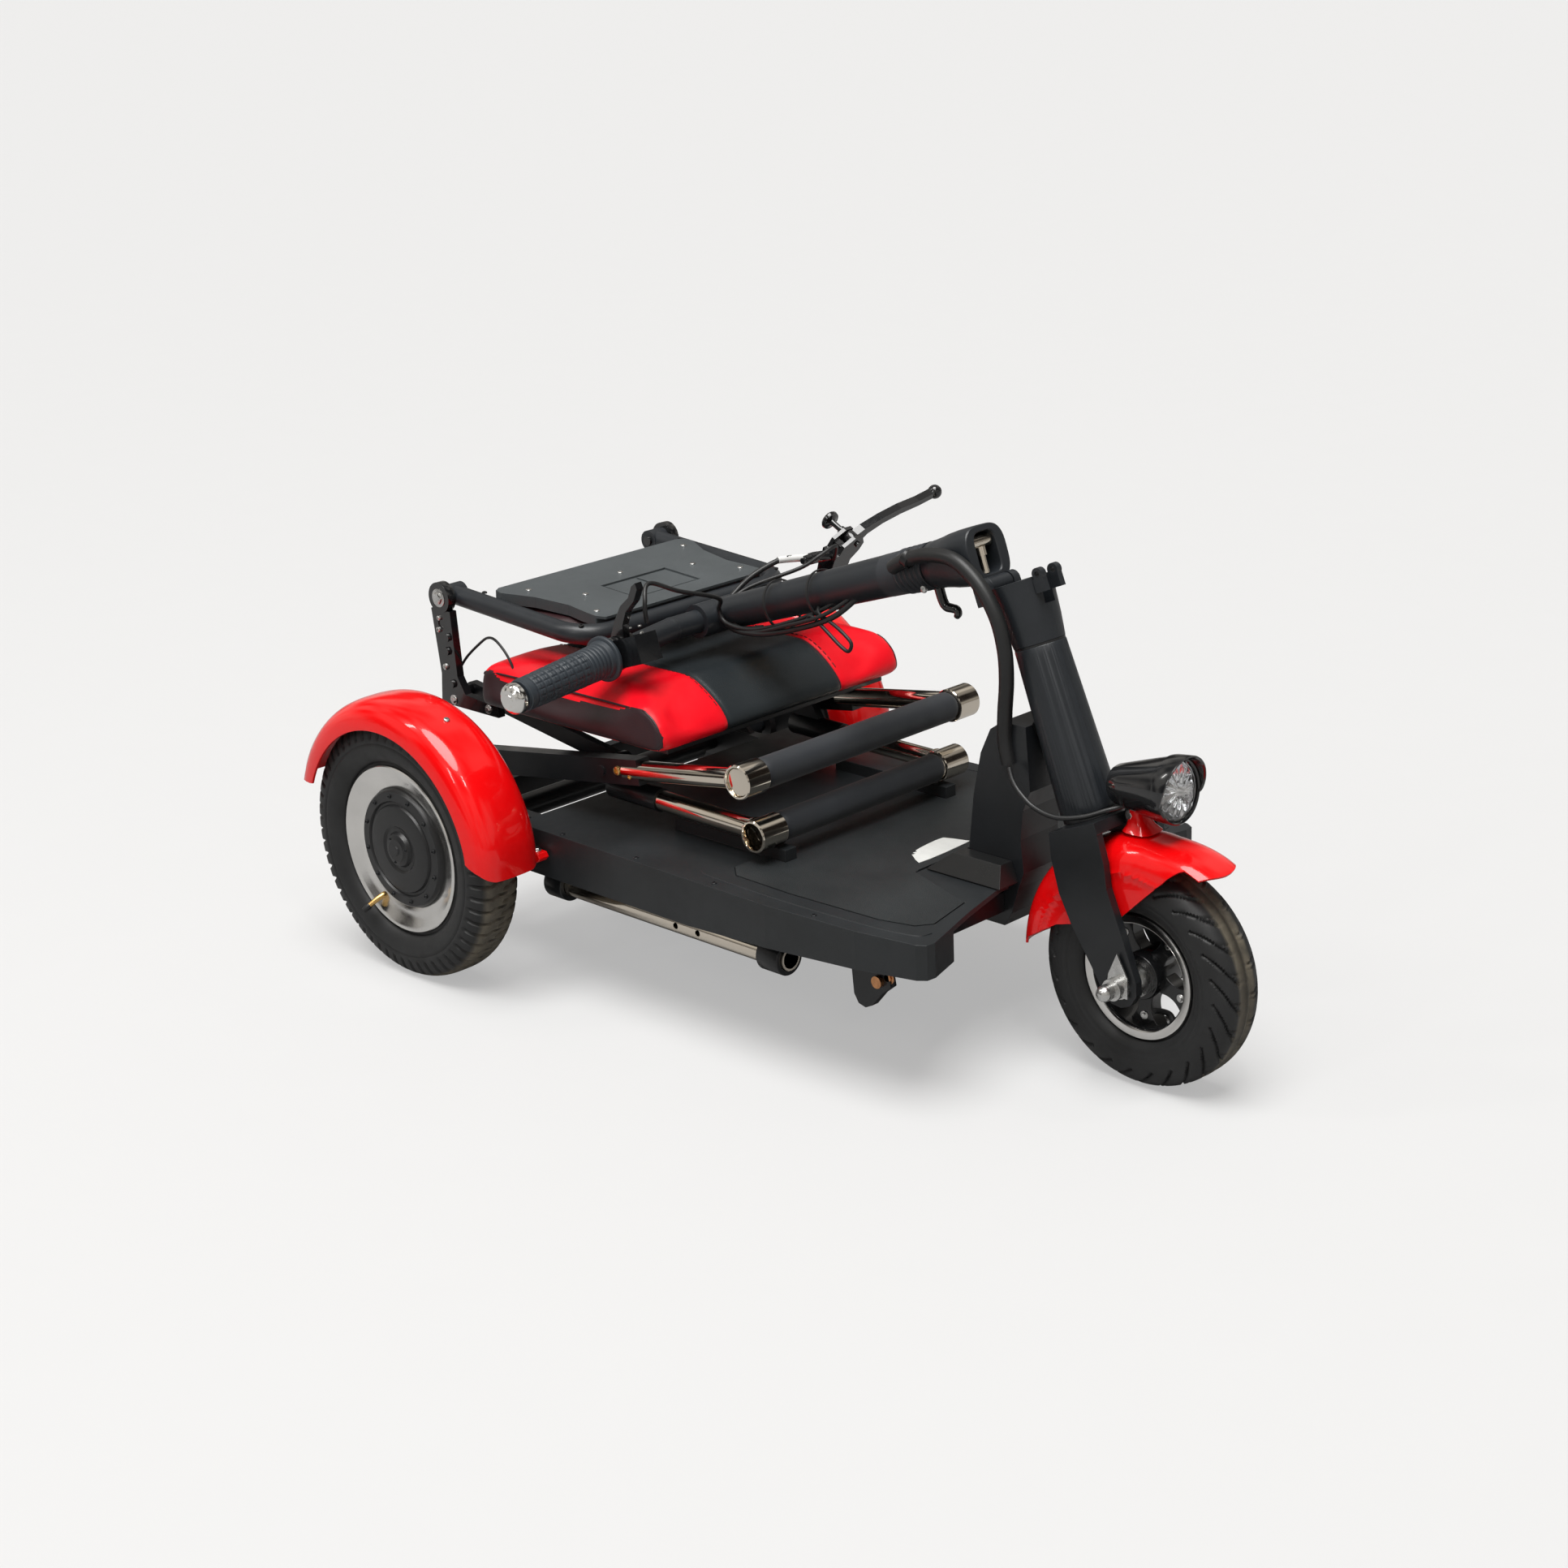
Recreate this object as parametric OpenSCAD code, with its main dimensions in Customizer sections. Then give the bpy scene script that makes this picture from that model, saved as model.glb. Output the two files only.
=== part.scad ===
// Folding three-wheel mobility scooter, stored folded: the stem lies back over the seat,
// the backrest lies on the seat and the seat's scissor stand is down on the footboard.
// +X is forward, +Y is to the rider's left, +Z is up, and Z = 0 is the ground.
// Inside the modules X is counted from the rear axle; placed() moves the lot to the row's origin.

/* [Rear wheels] */
// Radius of a rear tyre
rear_r = 127; // [115:1:135]
// Half the distance between the rear wheels' middles
track_half = 243; // [238:1:260]
// Half the width of a rear tyre
rear_half_w = 27; // [20:1:29]
// Outer radius of a rear fender
rear_fender_r = 147; // [140:1:155]

/* [Front wheel] */
// Radius of the front tyre
front_r = 98.3; // [90:0.1:100]
// Half the width of the front tyre
front_half_w = 26.6; // [20:0.1:28]
// Distance between the rear and the front axle
wheelbase = 678.4; // [670:0.1:690]
// Outer radius of the front fender
front_fender_r = 122; // [118:1:124]

/* [Steering] */
// Steering axis leans back from upright by this many degrees
rake = 21.4; // [18:0.1:24]
// Steering axis crosses the head tube's foot at this X
steer_x = 616; // [612:1:620]
// Steering axis crosses the head tube's foot at this Z
steer_z = 226; // [222:1:230]
// Radius of the steerer shaft
shaft_r = 15; // [12:0.5:16]
// Running clearance of shafts, pins and axles in their bores
run_gap = 0.05; // [0.02:0.01:0.1]

/* [Stem] */
// Angle the stem turns through from stored to upright
fold_angle = 86.7; // [80:0.1:90]
// Distance from the hinge face to the handlebar
stem_len = 352; // [330:1:360]
// Radius of the handlebar tube
bar_r = 11; // [9:0.5:12]
// Half the length of the handlebar
bar_half = 262; // [250:1:262]

/* [Seat] */
// Half the width of the seat cushion
seat_half_w = 162; // [150:1:168]
// Length of the seat cushion
seat_len = 260; // [230:1:262]
// Height of the seat cushion's top above the ground
seat_top = 292; // [288:1:294]
// Height of the seat cushion's underside above the ground
seat_low = 244; // [243:1:246]

/* [Seat stand] */
// Distance from the stand's foot hinge to its middle pivot
arm_half = 184; // [180:1:186]
// Distance from the middle pivot to the seat's hinge
arm_rear = 215; // [210:1:216]
// Angle of the stand's arms when down
arm_angle = 8.58; // [8:0.01:9]
// Height of the stand's foot hinge
foot_z = 181.7; // [180:0.1:184]
// Radius of the chrome leg tubes
leg_r = 9.5; // [8:0.5:9.5]

/* [Footboard] */
// Half the width of the footboard at its middle
deck_half_w = 198; // [185:1:200]
// Height of the footboard's top
deck_top = 155; // [150:1:156]
// Depth of the footboard's skirt
skirt_h = 45; // [35:1:46]
// Radius of the chrome rails
rail_r = 11; // [9:0.5:11]

/* [Hidden] */
$fn = 64;
soft_fn = 32;
gap = 0.05;
mid_x = 318.45;
black = [0.07, 0.07, 0.08];
satin_black = [0.12, 0.12, 0.13];
rubber = [0.1, 0.1, 0.1];
grey = [0.22, 0.23, 0.24];
red = [0.85, 0.02, 0.03];
chrome = [0.8, 0.76, 0.68];
steel = [0.7, 0.7, 0.7];
brass = [0.75, 0.6, 0.3];
white = [0.95, 0.95, 0.95];

// Stem and column
column_top = 203;
head_low = 2;
head_high = 147;
hinge_back = 27;
hinge_up = column_top + 3;
hinge_pin_r = 4;
knuckle_r = 7.5;
knuckle_half = 13.5;
casting_r = 27;
clamp_half = 28;
sweep_back = 17.2;
sweep_down = 12.3;
bend_y = 60;
lever_tilt = 52;
lever_bar = [sweep_down * sin(lever_tilt) - sweep_back * cos(lever_tilt), bar_half - bend_y,
    -sweep_back * sin(lever_tilt) - sweep_down * cos(lever_tilt)] / (bar_half - bend_y);
brake_tilt = 46;
brake_bar = [sweep_down * sin(brake_tilt) - sweep_back * cos(brake_tilt), bar_half - bend_y,
    -sweep_back * sin(brake_tilt) - sweep_down * cos(brake_tilt)] / (bar_half - bend_y);
pivot_out = 60;
pivot_side = 10;

// Wheels
rear_rim_r = 82;
rear_axle_r = 6;
axle_tube_r = 7.5;
front_axle_r = 5;
front_rim_r = 54;
fender_wall = 3;
rear_fender_half = 36;
front_fender_half = 33;

// Stand
outer_y = 141;
inner_y = 121;
arm_len = 2 * arm_half;
foot_x = -17;
mid_px = foot_x + arm_half * cos(arm_angle);
mid_pz = foot_z + arm_half * sin(arm_angle);
seat_hx = mid_px - arm_rear * cos(arm_angle);
seat_hz = mid_pz + arm_rear * sin(arm_angle);
bar_front_x = foot_x + arm_len * cos(arm_angle);
outer_bar_z = foot_z + arm_len * sin(arm_angle);
inner_bar_z = foot_z;
pivot_r = 5;
sleeve_end = 214;

// Backrest
back_x = -54;
back_z = 338;
back_tilt = 4;
back_tube_r = 9.5;
back_tube_y = 132;
back_len = 188;
back_bend = 34;

// Deck
rail_y = 160;
rail_z = 91;
rail_bore = rail_r - 2;
rail_x0 = 104;
rail_x1 = 412;

module placed() translate([-mid_x, 0, 0]) children();
module both() {
    children();
    mirror([0, 1, 0]) children();
}
module along(v) rotate([0, acos(v.z / norm(v)), atan2(v.y, v.x)]) children();
module rod(p, q, r) translate(p) along(q - p) cylinder(h = norm(q - p), r = r);
module across(x, z, r, y0, y1) translate([x, y0, z]) rotate([-90, 0, 0]) cylinder(h = y1 - y0, r = r);
module side_plate(y0, y1) translate([0, y1, 0]) rotate([90, 0, 0]) linear_extrude(y1 - y0) children();
module steer_frame() placed() translate([steer_x, 0, steer_z]) rotate([0, -rake, 0]) children();
module stem_frame() steer_frame() translate([-hinge_back, 0, hinge_up]) rotate([0, -fold_angle, 0]) children();
module bar_frame() stem_frame() translate([hinge_back, 0, stem_len]) children();
module wheel(x, y, z) placed() translate([x, y, z]) rotate([-90, 0, 0]) rotate_extrude() children();
module arm_frame() placed() translate([foot_x, 0, foot_z]) rotate([0, -arm_angle, 0]) children();
module back_plane() placed() translate([back_x, 0, back_z]) rotate([0, back_tilt, 0]) children();

// Place of the handlebar's axis, from the clamp's middle, at a distance y from the middle
function bar_at(y) = let (t = max(0, (abs(y) - bend_y) / (bar_half - bend_y))) [-sweep_back * t, y, -sweep_down * t];

// A round cord along a list of points: a curve through them, swept as one skin
function blend3(a, b, c, d, t) = 0.5 * ((2 * b) + (c - a) * t + (2 * a - 5 * b + 4 * c - d) * t * t
    + (3 * b - a - 3 * c + d) * t * t * t);
function curve(p, n) = [for (i = [0:len(p) - 2]) for (k = [0:n - 1])
    blend3(p[max(i - 1, 0)], p[i], p[i + 1], p[min(i + 2, len(p) - 1)], k / n), p[len(p) - 1]];
function unit(v) = v / norm(v);
function heading(c, i) = unit(c[min(i + 1, len(c) - 1)] - c[max(i - 1, 0)]);
function turned(u, t) = unit(u - t * (u * t));
function sides(c, i, u) = i == 0 ? turned(u, heading(c, 0)) : turned(sides(c, i - 1, u), heading(c, i));
module cord(p, r, n = 3, m = 8, u = [0.1, 0.2, 1]) {
    c = curve(p, n);
    rings = [for (i = [0:len(c) - 1]) let (a = sides(c, i, u), b = cross(heading(c, i), a))
        for (k = [0:m - 1]) c[i] + r * (a * cos(360 * k / m) + b * sin(360 * k / m))];
    skin = [for (i = [0:len(c) - 2]) for (k = [0:m - 1])
        [i * m + k, i * m + (k + 1) % m, (i + 1) * m + (k + 1) % m, (i + 1) * m + k]];
    polyhedron(points = rings, faces = concat([for (f = skin) [f[3], f[2], f[1], f[0]]],
        [[for (k = [0:m - 1]) k], [for (k = [m - 1:-1:0]) (len(c) - 1) * m + k]]));
}

// ---------- frame ----------
deck_edge = [[92, 194], [125, 194], [313, 196], [420, deck_half_w], [520, 193], [580, 184], [588, 179],
    [589, 170], [566, 100], [553, 52], [550, 40]];
mat_edge = [[336, 150], [352, 164], [420, 166], [520, 162], [552, 154], [562, 140], [550, 88], [470, 60]];
function mirrored(p) = concat(p, [for (i = [len(p) - 1:-1:0]) [p[i].x, -p[i].y]]);
neck_side = [[500, 112], [501, 175], [507, 225], [516, 265], [527, 288], [540, 297], [566, 297], [570, 240],
    [562, 222], [559, 195], [562, 165], [556, 150], [548, 125], [540, 112]];

module footboard() color(black) placed() difference() {
    union() {
        difference() {
            translate([0, 0, deck_top - skirt_h]) linear_extrude(skirt_h) polygon(mirrored(deck_edge));
            translate([0, 0, deck_top - skirt_h - 1]) linear_extrude(skirt_h - 4)
                scale([1, 0.976, 1]) intersection() {
                    polygon(mirrored(deck_edge));
                    translate([80, -200]) square([497, 400]);
                }
            translate([0, 0, deck_top - 2]) linear_extrude(3) polygon(mirrored(mat_edge));
        }
        both() translate([222, 100, deck_top - 1]) cube([142, 14, 12.3]);
    }
    translate([498.9, -30.4, 100]) cube([120, 60.8, 80]);
    side_plate(-210, 210) polygon([[300, 109], [592, 124], [592, 90], [300, 90]]);
}
module foot_mat() color(grey) placed() difference() {
    translate([0, 0, deck_top - 2 + gap]) linear_extrude(2.4) offset(delta = -0.6) polygon(mirrored(mat_edge));
    translate([498.9, -30.4, 100]) cube([120, 60.8, 80]);
    translate([468, -56.4, 100]) cube([92, 112.8, 80]);
    both() translate([222, 99.5, 100]) cube([142.5, 15, 80]);
}
module chassis() color(black) placed() {
    both() difference() {
        translate([-60, 146, 113]) cube([200, 12, 32]);
        across(0, rear_r, axle_tube_r + gap, 140, 170);
    }
    both() translate([139, 146, 125]) cube([401, 12, 20]);
    for (x = [66, 484]) translate([x, -146, 125]) cube([12, 292, 18]);
    both() translate([528, 25.3, 125]) cube([12, 121, 18]);
    both() difference() {
        union() {
            side_plate(150, 156) polygon([[-58, 140], [-38, 186], [-28, 194], [-6, 194], [4, 186], [60, 140]]);
            across(foot_x, foot_z, pivot_r, 132, 151);
        }
        across(20, 156, 9, 149, 157);
    }
    translate([-60, -146, 113]) cube([12, 292, 26]);
}
module neck() color(black) placed() difference() {
    side_plate(-25, 25) polygon(neck_side);
    translate([mid_x, 0, 0]) steer_frame() translate([0, 0, -60]) cylinder(h = 300, r = 26.2);
    translate([480, -26, 100]) cube([19.9, 52, 60]);
}
module head_tube() color(satin_black) steer_frame() difference() {
    translate([0, 0, head_low]) cylinder(h = head_high - head_low, r1 = 26, r2 = 22.5);
    translate([0, 0, head_low - 1]) cylinder(h = head_high, r = shaft_r + run_gap);
    translate([0, 0, head_high - 2]) cylinder(h = 4, r = shaft_r + run_gap);
}
module headset_bearings() color(steel) steer_frame() {
    for (z = [[-3.6, 5.4, 25], [head_high + gap, 1.6, 22.2]]) difference() {
        translate([0, 0, z[0]]) cylinder(h = z[1], r = z[2]);
        translate([0, 0, z[0] - 1]) cylinder(h = z[1] + 2, r = shaft_r + 0.2);
    }
}
module battery_pack() color(grey) placed() translate([110, -138, 114]) cube([360, 276, 34]);
module controller_box() color(black) placed() difference() {
    hull() {
        translate([473, -50, deck_top + 0.5]) cube([83, 100, 1]);
        translate([496, -40, 173]) cube([53, 80, 1]);
    }
    translate([498.9, -25.2, 100]) cube([120, 50.4, 100]);
}
module rails() color(chrome) placed() both() difference() {
    rod([rail_x0, rail_y, rail_z], [rail_x1, rail_y, rail_z], rail_r);
    rod([rail_x0 - 1, rail_y, rail_z], [rail_x1 + 1, rail_y, rail_z], rail_bore);
    for (x = [277.5, 306]) across(x, rail_z, 3, rail_y, rail_y + 20);
}
module rail_brackets() color(black) placed() both() for (x = [[102, 24], [384, 26]]) difference() {
    union() {
        rod([x[0], rail_y, rail_z], [x[0] + x[1], rail_y, rail_z], rail_r + 5);
        translate([x[0], rail_y - 13, rail_z]) cube([x[1], 22, 112.9 - rail_z]);
    }
    rod([x[0] - 3, rail_y, rail_z], [x[0] + x[1] + 3, rail_y, rail_z], rail_r + gap);
}
module rear_axle_beam() color(black) placed() {
    rod([0, -206, rear_r], [0, 206, rear_r], axle_tube_r);
    both() {
        across(0, rear_r, rear_axle_r, 205, track_half + 14);
        across(0, rear_r, 12, 160, 208);
    }
    across(0, rear_r, 12, -126, 126);
}
module rear_fender(s) color(red) placed() translate([0, s * (track_half - 2), rear_r]) {
    rotate([90, 0, 0]) rotate_extrude(angle = 162, $fn = 96) fender_profile(rear_fender_r, rear_fender_half);
    translate([126, -s * 40.3, 6]) cube([18, 12, 10], center = true);
}
module fender_profile(r, h) polygon([[r - 20, -h], [r - 8, -h + 1.5], [r - 2, -h + 9], [r, -9], [r, 9],
    [r - 2, h - 9], [r - 8, h - 1.5], [r - 20, h], [r - 20, h - fender_wall], [r - 10, h - fender_wall - 2],
    [r - 5, h - 12], [r - 3, 8], [r - 3, -8], [r - 5, 12 - h], [r - 10, fender_wall + 2 - h],
    [r - 20, fender_wall - h]]);
module rear_fenders() {
    rear_fender(-1);
    rear_fender(1);
}
module front_feet() color(black) placed() both() difference() {
    side_plate(147, 155) polygon([[478, 112.9], [520, 112.9], [524, 92], [514, 84], [502, 70], [494, 66],
        [486, 68], [481, 76]]);
    across(511, 95, 3, 140, 160);
}
module frame_bolts() color(brass) placed() both() {
    across(511, 95, 3 - gap, 146, 156);
    across(511, 95, 5.5, 155 + gap, 159);
    across(20, 156, 8.9, 149.5, 156.5);
}

// ---------- steering ----------
module steering_column() color(satin_black) steer_frame() difference() {
    union() {
        translate([0, 0, -3.9]) cylinder(h = head_high + 10, r = shaft_r);
        translate([0, 0, head_high + 2]) cylinder(h = 18, r1 = 22.5, r2 = 24.5);
        translate([0, 0, head_high + 20]) cylinder(h = column_top - head_high - 20, r1 = 24.5, r2 = casting_r);
        both() {
            across(-hinge_back, hinge_up, 8, 14, 22);
            translate([-hinge_back - 8, 14, column_top - 12]) cube([16, 8, 14]);
            translate([24, 7, column_top - 14]) cube([11, 6, 12]);
            across(30.5, column_top + 1, 5.5, 7, 13);
        }
    }
    across(-hinge_back, hinge_up, knuckle_r + 0.8, -14, 14);
    across(-hinge_back, hinge_up, hinge_pin_r + gap, -30, 30);
    translate([6, -6.3, column_top - 24]) cube([40, 12.6, 40]);
    across(30.5, column_top + 1, 2.6, -20, 20);
}
module stem_hinge_pin() color(steel) steer_frame() across(-hinge_back, hinge_up, hinge_pin_r, -23.5, 23.5);
blade = [[-14, -4], [37, -6], [34, -40], [29, -60], [30, -100], [30, -141.7], [26, -153], [16, -160],
    [6, -160], [-3, -155], [-8, -144], [-12, -122], [-20, -85], [-23, -56], [-20, -25]];
module fork() color(black) steer_frame() difference() {
    union() {
        both() side_plate(35, 43) polygon(blade);
        translate([-14, -43, -14]) cube([51, 86, 10]);
    }
    across(11.5, -141.7, front_axle_r + gap, -50, 50);
}
module front_axle() color(steel) placed() {
    across(wheelbase, front_r, front_axle_r, -64, 64);
    both() {
        across(wheelbase, front_r, 8, 27.4, 35 - gap);
        across(wheelbase, front_r, 11, 43 + gap, 45);
        difference() {
            side_plate(45, 46.5) polygon([[wheelbase - 11, front_r - 8], [wheelbase + 11, front_r - 8],
                [wheelbase + 11, front_r + 10], [wheelbase, front_r + 30], [wheelbase - 9, front_r + 10]]);
            across(wheelbase, front_r, 4, 40, 50);
        }
        across(wheelbase, front_r, 9.5, 46.5, 54);
        across(wheelbase, front_r, 7, 54, 62);
        translate([wheelbase, 63, front_r]) sphere(r = 7);
    }
}
module front_fender() color(red) placed() translate([wheelbase, 0, front_r]) intersection() {
    rotate([90, 0, 0]) rotate_extrude($fn = 96) difference() {
        fender_outer(front_fender_r, front_fender_half);
        fender_outer(front_fender_r - 3, front_fender_half - 3);
        translate([0, -50]) square([46, 100]);
    }
    side_plate(-40, 40) polygon([[-134, -3], [-75, 33], [-13, 50], [44, 105], [66, 122], [66, 150], [-150, 150],
        [-150, -3]]);
}
module fender_outer(r, h) polygon([[0, -h], [r - 20, -h], [r - 8, -h + 4], [r - 2, -h + 12], [r, -8], [r, 8],
    [r - 2, h - 12], [r - 8, h - 4], [r - 20, h], [0, h]]);
module lamp_frame() placed() translate([643, 0, 257]) rotate([0, 84, 0]) children();
module lamp_shell() color(black) {
    lamp_frame() difference() {
        union() {
            cylinder(h = 44, r1 = 17, r2 = 25);
            translate([0, 0, 44]) cylinder(h = 20, r1 = 25, r2 = 27);
        }
        translate([0, 0, 30]) cylinder(h = 60, r1 = 18, r2 = 27);
    }
    lamp_frame() difference() {
        translate([0, 0, 60]) cylinder(h = 18, r = 28);
        translate([0, 0, 58]) cylinder(h = 22, r = 25.9);
        translate([-12, -40, 64]) cube([60, 80, 20]);
    }
    placed() difference() {
        translate([656.5, -7, 228]) cube([10, 14, 16]);
        translate([643, 0, 257]) rotate([0, 84, 0]) translate([0, 0, 1]) cylinder(h = 60, r = 15);
    }
}
module lamp_reflector() color(chrome) lamp_frame() difference() {
    translate([0, 0, 40]) cylinder(h = 18, r1 = 12, r2 = 21.5);
    translate([0, 0, 42]) cylinder(h = 17, r1 = 8, r2 = 20.5);
}
module lamp_lens() color(white) lamp_frame() {
    translate([0, 0, 58.3]) cylinder(h = 3, r = 22);
    translate([0, 0, 61.2]) cylinder(h = 2, r1 = 22, r2 = 18);
}
module lamp_wire() color(rubber) placed() cord([[554, -32, 264], [568, -36, 247], [588, -39, 235], [610, -39, 232],
    [632, -30, 238], [648, -20, 241], [656, -13, 241]], 2, 3, 6);
module cable_conduit() color(rubber) placed() cord([[543, -27, 300], [549, -30, 330], [550, -33, 362],
    [540, -34, 396], [520, -34, 424], [490, -33, 437], [456, -30, 430], [430, -27, 420]], 6.5, 3, 10);

// ---------- front wheel ----------
function tyre_half(r0, r1, w, n) = [for (i = [0:n]) let (a = 180 * i / n)
    [(r0 + r1) / 2 - cos(a) * (r1 - r0) / 2, w * pow(sin(a), 0.55)]];
function tyre_points(r0, r1, w, n, b) = let (p = tyre_half(r0, r1, w, n))
    concat([[r0 - 2, -b], [r0, -b - 0.2]], [for (i = [2:n - 1]) [p[i].x, -p[i].y]], [[r1, 0]],
        [for (i = [n - 1:-1:2]) p[i]], [[r0, b + 0.2], [r0 - 2, b]]);
module front_tyre() color(rubber) wheel(wheelbase, 0, front_r)
    polygon(tyre_points(front_rim_r + 0.2, front_r, front_half_w, 12, 14.6));
module front_rim() color(black) placed() translate([wheelbase, 0, front_r]) rotate([-90, 0, 0]) {
    rotate_extrude() polygon([[46, -16], [54, -18], [54, -15.4], [52, -14.8], [52, 14.8], [54, 15.4], [54, 18],
        [46, 16]]);
    difference() {
        union() {
            cylinder(h = 36, r = 19, center = true);
            for (k = [0:4]) rotate([0, 0, 72 * k + 20]) translate([10, -8, -7]) cube([38, 16, 14]);
        }
        cylinder(h = 60, r = 14 + gap, center = true);
    }
}
module front_hub() color(steel) wheel(wheelbase, 0, front_r)
    polygon([[front_axle_r + run_gap, -27], [9, -27], [9, -23], [16, -23], [16, -18.1], [14, -18.1], [14, 18.1],
        [16, 18.1], [16, 23], [9, 23], [9, 27], [front_axle_r + run_gap, 27]]);

// ---------- rear wheels ----------
module rear_tyre(s) color(rubber) wheel(0, s * track_half, rear_r)
    polygon(tyre_points(rear_rim_r, rear_r, rear_half_w, 12, 17));
module rear_rim(s) color(chrome) {
    wheel(0, s * track_half, rear_r) scale([1, s, 1]) polygon([[58 + gap, -12], [64, -13],
        [78, -20], [81.3, -20.3], [81.6, -17.6], [79.9, -17.3], [79.9, 17.3], [81.6, 17.6], [81.3, 20.3],
        [78, 20], [64, 12.5], [58 + gap, 11]]);
    placed() rod([0 - 38, s * (track_half + 11), rear_r - 58], [-38, s * (track_half + 30), rear_r - 58], 3.6);
}
module hub_motor(s) color(black) wheel(0, s * track_half, rear_r) scale([1, s, 1])
    polygon([[rear_axle_r + run_gap, -26], [16, -26], [18, -20], [50, -18], [56, -12], [58, -12], [58, 11],
        [56, 12], [51, 12], [50, 15], [45, 15.5], [44, 18], [24, 20], [22, 18.5], [18, 18.5], [16, 22],
        [8, 24], [0, 24], [0, 15], [rear_axle_r + run_gap, 15]]);
module rear_tyre_right() rear_tyre(-1);
module rear_rim_right() rear_rim(-1);
module hub_motor_right() hub_motor(-1);
module rear_tyre_left() rear_tyre(1);
module rear_rim_left() rear_rim(1);
module hub_motor_left() hub_motor(1);

// ---------- stem and handlebar ----------
module stem_hinge() color(satin_black) stem_frame() difference() {
    union() {
        hull() {
            translate([2, -25, 0]) cube([50, 50, 20], $fn = soft_fn);
            translate([hinge_back, 0, 62]) cylinder(h = 1, r = 20, $fn = soft_fn);
        }
        across(0, 0, knuckle_r, -knuckle_half, knuckle_half);
        translate([0, -knuckle_half, 0]) cube([6, 2 * knuckle_half, 6]);
    }
    across(0, 0, hinge_pin_r + run_gap, -30, 30);
    both() across(0, 0, 8.6, 13.6, 26);
    translate([10, -13, -1]) cube([36, 26, 46]);
    translate([hinge_back, 0, 55]) cylinder(h = 10, r = 17 + gap);
}
module stem_tube() color(satin_black) stem_frame() difference() {
    union() {
        translate([hinge_back, 0, 55]) cylinder(h = 8.5, r = 17);
        translate([hinge_back, 0, 63.2]) cylinder(h = stem_len - 75, r1 = 19.5, r2 = 15.5);
        across(hinge_back, stem_len, 16, -clamp_half, clamp_half);
    }
    across(hinge_back, stem_len, bar_r + gap, -40, 40);
}
module handlebar() color(satin_black) bar_frame() {
    across(0, 0, bar_r, -bend_y, bend_y);
    both() {
        rod(bar_at(bend_y), bar_at(bar_half), bar_r);
        translate([0, bend_y, 0]) sphere(r = bar_r + 0.3);
    }
}
module bar_caps() color(steel) bar_frame() both() {
    rod(bar_at(bar_half) + [0, gap, 0], bar_at(bar_half + 6), 14);
    rod(bar_at(bar_half + 6), bar_at(bar_half + 9), 10);
}
module grips() color(rubber) bar_frame() both() difference() {
    union() {
        translate(bar_at(150)) along(bar_at(260) - bar_at(150)) cylinder(h = 111, r1 = 16.8, r2 = 14.6);
        rod(bar_at(148.5), bar_at(152.5), 21.5);
        rod(bar_at(152), bar_at(158), 18.5);
        for (k = [0:2]) rod(bar_at(163 + 12 * k), bar_at(166 + 12 * k), 17.3 - 0.2 * k);
    }
    rod(bar_at(140), bar_at(264), bar_r + gap);
}
module throttle_box() color(black) bar_frame() difference() {
    union() {
        rod(bar_at(-118), bar_at(-144), 16);
        translate(bar_at(-131) + [-14, -13, -42]) cube([26, 26, 34]);
    }
    rod(bar_at(-110), bar_at(-150), bar_r + gap);
    rod(bar_at(-126), bar_at(-137), 40);
}
module throttle_lever() color(black) bar_frame() difference() {
    union() {
        rod(bar_at(-126.4), bar_at(-136.6), 15.5);
        translate(bar_at(-131.5)) rotate([0, lever_tilt, 0]) translate([0, 4, 0])
            rotate([90, 0, 0]) linear_extrude(8)
                polygon([[8, -10], [30, 6], [44, 9], [60, 6], [73, 8], [76, 13], [70, 15], [58, 13], [44, 17],
                    [26, 16], [8, 12]]);
    }
    rod(bar_at(-120), bar_at(-142), bar_r + run_gap);
}
module lever_frame() bar_frame() translate(bar_at(138)) rotate([0, brake_tilt, 0]) children();
module brake_perch() color(black) {
    lever_frame() difference() {
        union() {
            rod(-9 * brake_bar, 8 * brake_bar, 16.5);
            translate([0, 0, -9]) linear_extrude(18) polygon([[8, -9], [30, -14], [50, -16], [52, 6], [44, 8],
                [28, 8], [8, 8]]);
            for (z = [-9, 5]) translate([0, 0, z]) linear_extrude(4)
                polygon([[40, -14], [60, -8], [68, 4], [68, 14], [60, 19], [52, 16], [40, 6]]);
            rod([46, -14, 0], [47, -34, 2], 5.5);
        }
        rod(-20 * brake_bar, 20 * brake_bar, bar_r + gap);
        translate([pivot_out, pivot_side, -20]) cylinder(h = 40, r = 3 + gap);
        translate([46, -3, -4.7]) cube([40, 60, 9.4]);
    }
    lever_frame() translate([pivot_out, pivot_side, -11]) cylinder(h = 20.5, r = 3);
    lever_frame() translate([pivot_out, pivot_side, 9.2]) cylinder(h = 20, r = 2.4);
    lever_frame() translate([pivot_out, pivot_side, 29]) cylinder(h = 4, r1 = 9, r2 = 8);
}
module brake_lever() color(black) lever_frame() difference() {
    union() {
        translate([pivot_out, pivot_side, -4.4]) cylinder(h = 8.8, r = 7.5);
        translate([0, 0, -4]) linear_extrude(8) polygon([[53, 11], [62, 3], [72, 20], [80, 42], [86, 66],
            [89, 90], [94, 110], [88, 112], [83, 92], [79, 68], [73, 45], [65, 27], [55, 17]]);
        translate([91.5, 115, 0]) sphere(r = 7);
    }
    translate([pivot_out, pivot_side, -20]) cylinder(h = 40, r = 3 + run_gap);
}
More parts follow.
